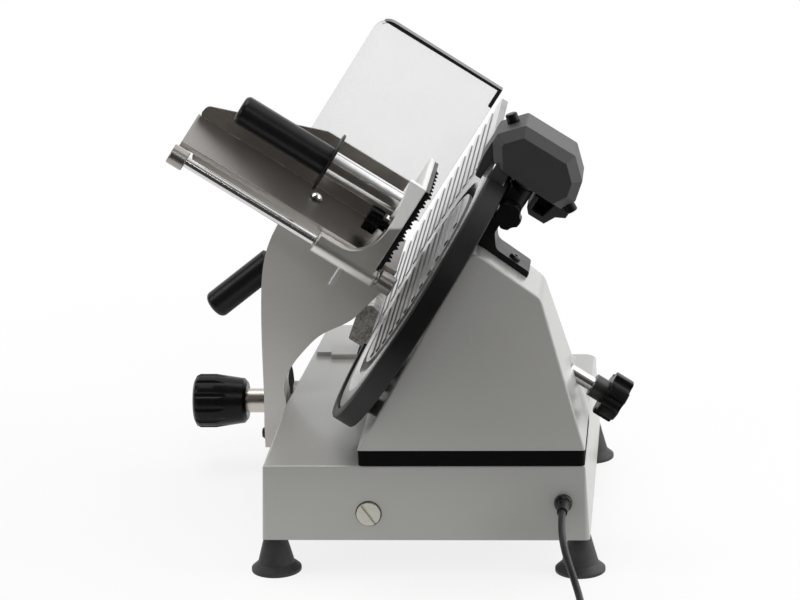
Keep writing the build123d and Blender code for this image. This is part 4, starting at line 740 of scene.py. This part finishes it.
oxide_black, shader, place = new_finish("black_oxide", Metallic=0.5)
wear = place.noise(0.002, 3)
apply_finish(
    shader, place, wear.mix(0.010, 0.030), 0.30 + 0.15 * wear, relief=wear, depth=0.00004, strength=0.2
)
bracket_low, bracket_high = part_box("sharpener_bracket")
foot_y = (bracket_low.y + bracket_high.y) / 2 - 0.008
foot_up = 0.0697
foot_off = -0.0560
foot_head = socket_head(radius=0.0048, height=0.0030)
foot_screw = turned_head(foot_head, blade_spot(foot_y, foot_up, foot_off), along)
skin("bracket_screw", [foot_screw], oxide_black, "frame")

# Gauge support
# A rough aluminium casting under the gauge plate, with the dark pits and stains of an undressed skin. Its
# tongue slides on the two bars of a zinc-plated cradle under the deck.
rough_cast, shader, place = new_finish("rough_casting", Metallic=0.8)
pits = place.noise(0.0018, 3)
stain = place.noise(0.009, 4)
mottle = (0.5 * pits + 0.5 * stain).rise(0.36, 0.64)
apply_finish(
    shader, place, mottle.mix((0.30, 0.285, 0.27), (0.72, 0.69, 0.67)), 0.38 + 0.2 * pits,
    relief=pits, depth=0.0003, strength=0.35, edge=0.0008,
)
dress(rough_cast, "gauge_support")
dress(zinc, "gauge_cradle")

# Slot trim
# A thin enamelled sheet, folded once, lies on the deck's step. It covers the part of the slot that the
# casting's tongue leaves open.
slot_start = base_low.x + 0.033
slot_end = base_low.x + 0.0567
slot_near = base_low.y + 0.290
slot_far = base_low.y + 0.326
step_height = 0.004
trim_thick = 0.0008
trim_bend = 0.0020
trim_gap = 0.00005
trim_low = base_high.z - step_height + trim_gap
trim_top = base_high.z + trim_gap + trim_thick
fold_steps = 7
fold_turn = np.linspace(0, np.pi / 2, fold_steps)


def fold(radius):
    """Quarter circle from the sheet's skirt to its top."""
    y = slot_near + trim_bend - radius * np.cos(fold_turn)
    z = trim_top - trim_bend + radius * np.sin(fold_turn)
    return np.stack([y, z], axis=1)


trim_section = np.vstack([
    [(slot_near, trim_low)],
    fold(trim_bend),
    [(slot_far, trim_top), (slot_far, trim_top - trim_thick)],
    fold(trim_bend - trim_thick)[::-1],
    [(slot_near + trim_thick, trim_low)],
])
trim_ends = [np.insert(trim_section[::-1], 0, x, axis=1) for x in (slot_start, slot_end)]
skin("slot_trim", [np.array(trim_ends)], housing_enamel, "frame")

# Thickness dial
# A turned steel sleeve carries a fluted black knob, whose end a bright plug closes, and a black scale disc
# printed with plain white ticks and numbers. Its zinc-plated cam sits inside the base.
sleeve_steel, shader, place = new_finish("turned_sleeve", Metallic=1.0)
turning = place.noise(0.0005, stretch=(24, 1, 1))
apply_finish(
    shader, place, turning.mix((0.46, 0.42, 0.39), (0.62, 0.58, 0.54)), 0.26 + 0.12 * turning,
    relief=turning, depth=0.00006, strength=0.25,
)
dress(sleeve_steel, "dial_shaft")
dress(phenolic, "dial_knob")
dress(zinc, "dial_cam")
scale_black, shader, place = new_finish("scale_black", Specular_IOR_Level=0.05)
wear = place.noise(0.008, 3)
apply_finish(shader, place, wear.mix(0.003, 0.007), 0.55 + 0.15 * wear, edge=0.0006)
dress(scale_black, "dial_scale")

knob_low, knob_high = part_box("dial_knob")
knob_middle = (knob_low + knob_high) / 2
end_plug = [(0.0050, -0.0004, 0), (0.0050, 0.0004, 0), (0.0044, 0.0009, 0), (0.0015, 0.0011, 0)]
plug_spot = (knob_low.x, knob_middle.y, knob_middle.z)
skin("knob_plug", [turned_head(end_plug, plug_spot, (-1, 0, 0))], screw_zinc, "dial")

mark_paint, shader, place = new_finish("mark_white")
fade = place.noise(0.002, 3)
apply_finish(shader, place, fade.mix(0.55, 0.78), 0.5 + 0.1 * fade)
mark_lift = 0.00008
scale_low, scale_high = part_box("dial_scale")
scale_middle = (scale_low + scale_high) / 2
scale_face = Vector((scale_low.x - mark_lift, scale_middle.y, scale_middle.z))
number_circle = 0.0215
tick_inner = 0.0265
tick_outer = 0.0310
tick_width = 0.0006
number_size = 0.0062
number_step = math.radians(22)
last_number = 15


def dial_ways(turn):
    """Directions away from the dial's centre and to their right, as arrays, from turns from the top."""
    zero = np.zeros_like(turn)
    away = np.stack([zero, -np.sin(turn), np.cos(turn)], axis=-1)
    right = np.stack([zero, -np.cos(turn), -np.sin(turn)], axis=-1)
    return away, right


def tick_mesh():
    """Ticks at each number and, half as long, between them, four corners to a tick.

    A corner is the dial's centre, plus its circle's radius away from it, plus or minus half the tick's width
    to the right.
    """
    count = 2 * last_number + 1
    away, right = dial_ways(np.arange(count) * number_step / 2)
    inner = np.where(np.arange(count) % 2 == 0, tick_inner, (tick_inner + tick_outer) / 2)
    outer = np.full(count, tick_outer)
    radius = np.stack([inner, inner, outer, outer], axis=1)
    side = np.array((-1, 1, 1, -1)) * tick_width / 2
    corners = np.array(scale_face) + radius[:, :, None] * away[:, None] + side[:, None] * right[:, None]
    mesh = bpy.data.meshes.new("ticks")
    mesh.from_pydata(corners.reshape(-1, 3).tolist(), [], np.arange(4 * count).reshape(-1, 4).tolist())
    return mesh


def flat_text(words, size):
    """A word as a flat mesh in the XY plane, centred on the origin."""
    letters = bpy.data.curves.new("letters", "FONT")
    letters.body = words
    letters.size = size
    letters.align_x = "CENTER"
    letters.align_y = "CENTER"
    holder = bpy.data.objects.new("letters", letters)
    bpy.context.scene.collection.objects.link(holder)
    seen_by = holder.evaluated_get(bpy.context.evaluated_depsgraph_get())
    mesh = bpy.data.meshes.new_from_object(seen_by)
    bpy.data.objects.remove(holder)
    return mesh


def on_face(centre, right, up):
    """Matrix that lays the XY plane on a face with these right and up directions."""
    turned = Matrix((right, up, right.cross(up))).transposed().to_4x4()
    return Matrix.Translation(centre) @ turned


prints = [tick_mesh()]
for number in range(last_number + 1):
    away, right = (Vector(way) for way in dial_ways(np.array(number * number_step)))
    words = flat_text(str(number), number_size)
    words.transform(on_face(scale_face + number_circle * away, right, away))
    prints.append(words)
marks = bmesh.new()
for mesh in prints:
    marks.from_mesh(mesh)
    bpy.data.meshes.remove(mesh)
scale_marks = bpy.data.meshes.new("scale_marks")
marks.to_mesh(scale_marks)
marks.free()
scale_marks.materials.append(mark_paint)
attach("scale_marks", scale_marks, "dial")

# Switch
# A moulded black panel let into the base wall, with a green start button and a red stop button. A plain sign
# is printed on each button.
sign_size = 0.0085
dress(scale_black, "switch_panel")
button_colours = {"start_button": (0.02, 0.25, 0.07), "stop_button": (0.50, 0.02, 0.02)}
for name, colour in button_colours.items():
    gloss, shader, place = new_finish(name + "_gloss")
    haze = place.noise(0.003)
    dimmed = tuple(0.8 * c for c in colour)
    apply_finish(shader, place, haze.mix(dimmed, colour), 0.22 + 0.1 * haze, edge=0.0006)
    dress(gloss, name)
    button_low, button_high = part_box(name)
    button_middle = (button_low + button_high) / 2
    face = Vector((button_low.x - mark_lift, button_middle.y, button_middle.z))
    sign = flat_text("I" if name == "start_button" else "O", sign_size)
    sign.transform(on_face(face, Vector((0, -1, 0)), Vector((0, 0, 1))))
    sign.materials.clear()
    sign.materials.append(mark_paint)
    attach(name + "_mark", sign, name.replace("button", "push"))

# Carriage arm
# A curved aluminium casting in a slightly warmer enamel, painted paler towards its foot as painted light. A
# black bolt holds its foot to its slider. The handle is a black moulding.
arm_grey = (0.44, 0.425, 0.404)
arm_painted_light_tone = (0.58, 0.562, 0.536)
painted_light_height = (0.08, 0.20)
arm_enamel, shader, place = new_finish("arm_enamel", **enamel_coat)
tone, roughness, relief = enamel_tone(place, arm_grey)
# Painted light: the enamel is painted paler below this height
painted_light_low = 1 - place.dot((0, 0, 1)).rise(*painted_light_height)
apply_finish(shader, place, painted_light_low.mix(tone, arm_painted_light_tone), roughness, relief, **enamel_skin)
dress(arm_enamel, "carriage_arm")
dress(rough_cast, "carriage_slider")

arm_low, arm_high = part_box("carriage_arm")
bolt_spot = (arm_low.x, (arm_low.y + arm_high.y) / 2, arm_low.z + 0.0085)
arm_bolt = turned_head(socket_head(radius=0.0052, height=0.0040), bolt_spot, (-1, 0, 0))
skin("arm_bolt", [arm_bolt], oxide_black, "carriage")

moulded, shader, place = new_finish("grip_moulding", Specular_IOR_Level=0.25)
wear = place.noise(0.012, 3)
grain = place.noise(0.0007)
apply_finish(
    shader, place, wear.mix(0.004, 0.009), 0.26 + 0.12 * wear,
    relief=grain, depth=0.0001, strength=0.25, edge=0.0008,
)
dress(moulded, "carriage_handle")

# Tray
# Stainless sheet, folded up at its far side and brushed along its length. Its floor is painted much darker
# than its wall, as painted shade. A thin lip with a rolled hem hangs under its near edge.
blade_tilt = math.atan2(along.x, along.z)
painted_shade_floor_turn = (0.3, 0.8)
tray_steel, shader, place = new_finish("brushed_stainless", Metallic=1.0)
slant = place.node(
    "ShaderNodeMapping", {"vector_type": "TEXTURE"}, {"Vector": place, "Rotation": (0, blade_tilt, 0)}
)
brush = slant.noise(0.0004, 3, (60, 1, 1))
stain = place.noise(0.05, 3)
speckle = 0.6 * brush + 0.4 * stain
wall_tone = speckle.mix((0.52, 0.49, 0.455), (0.80, 0.765, 0.73))
floor_painted_shade_tone = speckle.mix((0.11, 0.101, 0.092), (0.19, 0.177, 0.164))
# Painted shade: faces that lie level across the blade's tilt, the tray's floor, take the much darker tone
level = abs(place.node("ShaderNodeNewGeometry", output="True Normal").dot(along)).rise(*painted_shade_floor_turn)
apply_finish(
    shader, place, level.mix(wall_tone, floor_painted_shade_tone), 0.26 + 0.16 * brush,
    relief=brush, depth=0.00005, strength=0.25, edge=0.0004,
)
dress(tray_steel, "tray")

lip_start = 0.022
lip_end = 0.212
lip_top = -0.0366
lip_depth = 0.0110
lip_corner = 0.006
hem_radius = 0.0006
lip_near = arm_low.y - 0.0036
hem_steps = 7
corner_steps = 9
lip_steps = 12
hem_turn = np.linspace(np.pi, 0, hem_steps)
corner_turn = np.linspace(0, np.pi / 2, corner_steps)
lip_reach = np.concatenate([
    lip_start + lip_corner * (1 - np.cos(corner_turn)),
    np.linspace(lip_start + lip_corner, lip_end - lip_corner, lip_steps)[1:-1],
    lip_end - lip_corner * (1 - np.cos(corner_turn[::-1])),
])


def lip_loops(reach):
    """Sections of the lip at distances from the blade: a strip with a half-round hem, shorter at its ends.

    Near an end the strip is shortened by the corner's radius less the root of its square less the square of
    what is left of it.
    """
    left = np.maximum(0, lip_corner - np.minimum(reach - lip_start, lip_end - reach))
    shortened = lip_corner - np.sqrt(np.maximum(0, lip_corner**2 - left**2))
    hem_middle = lip_top - lip_depth + shortened + hem_radius
    hem = hem_middle[:, None] - hem_radius * np.sin(hem_turn)
    top = np.full((len(reach), 1), lip_top)
    up = np.hstack([top, hem, top])
    across = np.concatenate([[0], hem_radius * (1 + np.cos(hem_turn)), [2 * hem_radius]])
    return blade_spot(lip_near + across, up, reach[:, None])[:, ::-1]


skin("tray_lip", [lip_loops(lip_reach)], tray_steel, "carriage")

# Clear guard
# A sheet of clear acrylic behind the tray wall, with polished edges and a folded black rim along its top.
# Its edges are painted dark and nearly opaque, as painted shade. Three domed nuts hold it from behind.
rim_low = 0.1265
tail_low = 0.1098
tail_width = 0.0118
rim_black = 0.012
acrylic, shader, place = new_finish("clear_acrylic", Specular_IOR_Level=0.5)
up = from_blade(place, along)
off = from_blade(place, out)
on_rim = up.rise(rim_low - finish_edge, rim_low)
on_tail = up.rise(tail_low - finish_edge, tail_low) * (1 - off.rise(tail_width, tail_width + finish_edge))
dark = on_rim.most(on_tail)
# Painted shade: where the sheet's faces turn edge-on it is painted dark and made nearly opaque
edge_painted_shade = 1 - abs(place.node("ShaderNodeNewGeometry", output="Normal").dot(far))
smear = place.noise(0.03, 3)
apply_finish(
    shader, place, dark.mix(edge_painted_shade.mix(0.80, 0.06), rim_black), 0.04 + 0.06 * smear + 0.25 * dark
)
place.feed(shader.inputs["Alpha"], (0.16 + 0.04 * smear + 0.7 * edge_painted_shade).most(dark))
dress(acrylic, "clear_guard")

sheet_thick = 0.004
guard_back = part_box("clear_guard")[0].y + sheet_thick
nut_reaches = (0.050, 0.085, 0.118)
domed_nut = [
    (0.0045, 0, 1),
    (0.0045, 0.0030, 1),
    (0.0038, 0.0034, 0),
    (0.0034, 0.0048, 0),
    (0.0022, 0.0062, 0),
    (0.0008, 0.0066, 0),
]
guard_nuts = [turned_head(domed_nut, blade_spot(guard_back, 0, reach), far) for reach in nut_reaches]
skin("guard_nuts", guard_nuts, screw_zinc, "carriage")

# Pusher
# A cast bracket, bead-blasted and nickel-plated, swings on a polished rod between two turned collars. Its top
# is painted near-white and less metallic, as a painted highlight. Its tube is drawn steel, and its plate,
# hand guard and grip are black mouldings. A bright stud in the tray's floor stops the plate.
painted_highlight_above = 0.2590
painted_highlight_turn = 0.0015
painted_highlight_tone = (0.92, 0.92, 0.90)
plated, shader, place = new_finish("plated_casting")
# Painted highlight: above this height the bracket takes a near-white tone and loses most of its metal
bright = place.dot((0, 0, 1)).rise(painted_highlight_above - painted_highlight_turn, painted_highlight_above + painted_highlight_turn)
bead = place.noise(0.0007)
stain = place.noise(0.02, 3)
blasted_tone = stain.mix((0.62, 0.61, 0.58), (0.78, 0.77, 0.74))
apply_finish(
    shader, place, bright.mix(blasted_tone, painted_highlight_tone), 0.30 + 0.14 * bead,
    relief=bead, depth=0.0001, strength=0.25, edge=0.002,
)
place.feed(shader.inputs["Metallic"], 1 - 0.85 * bright)
dress(plated, "pusher_bracket")
dress(moulded, "pusher_grip", "hand_guard", "toothed_plate")
dress(phenolic, "plate_knob")

chrome, shader, place = new_finish("polished_steel", Metallic=1.0)
haze = place.noise(0.008, 3)
apply_finish(shader, place, haze.mix(0.58, 0.72), 0.10 + 0.10 * haze, edge=0.0004)
dress(chrome, "pusher_rod", "grip_tube", "tray_screw")

pin_steel, shader, place = new_finish("pin_steel", Metallic=0.8)
turning = place.noise(0.0006)
apply_finish(
    shader, place, turning.mix(0.62, 0.76), 0.34 + 0.1 * turning, relief=turning, depth=0.00004, strength=0.15
)
dress(pin_steel, "stop_pin")

satin_steel, shader, place = new_finish("collar_steel", Metallic=1.0)
turning = place.noise(0.0006, 3)
apply_finish(
    shader, place, turning.mix((0.26, 0.245, 0.23), (0.44, 0.42, 0.40)), 0.26 + 0.14 * turning,
    relief=turning, depth=0.00005, strength=0.2, edge=0.0005,
)
dress(satin_steel, "rod_collars", "pusher_liner")
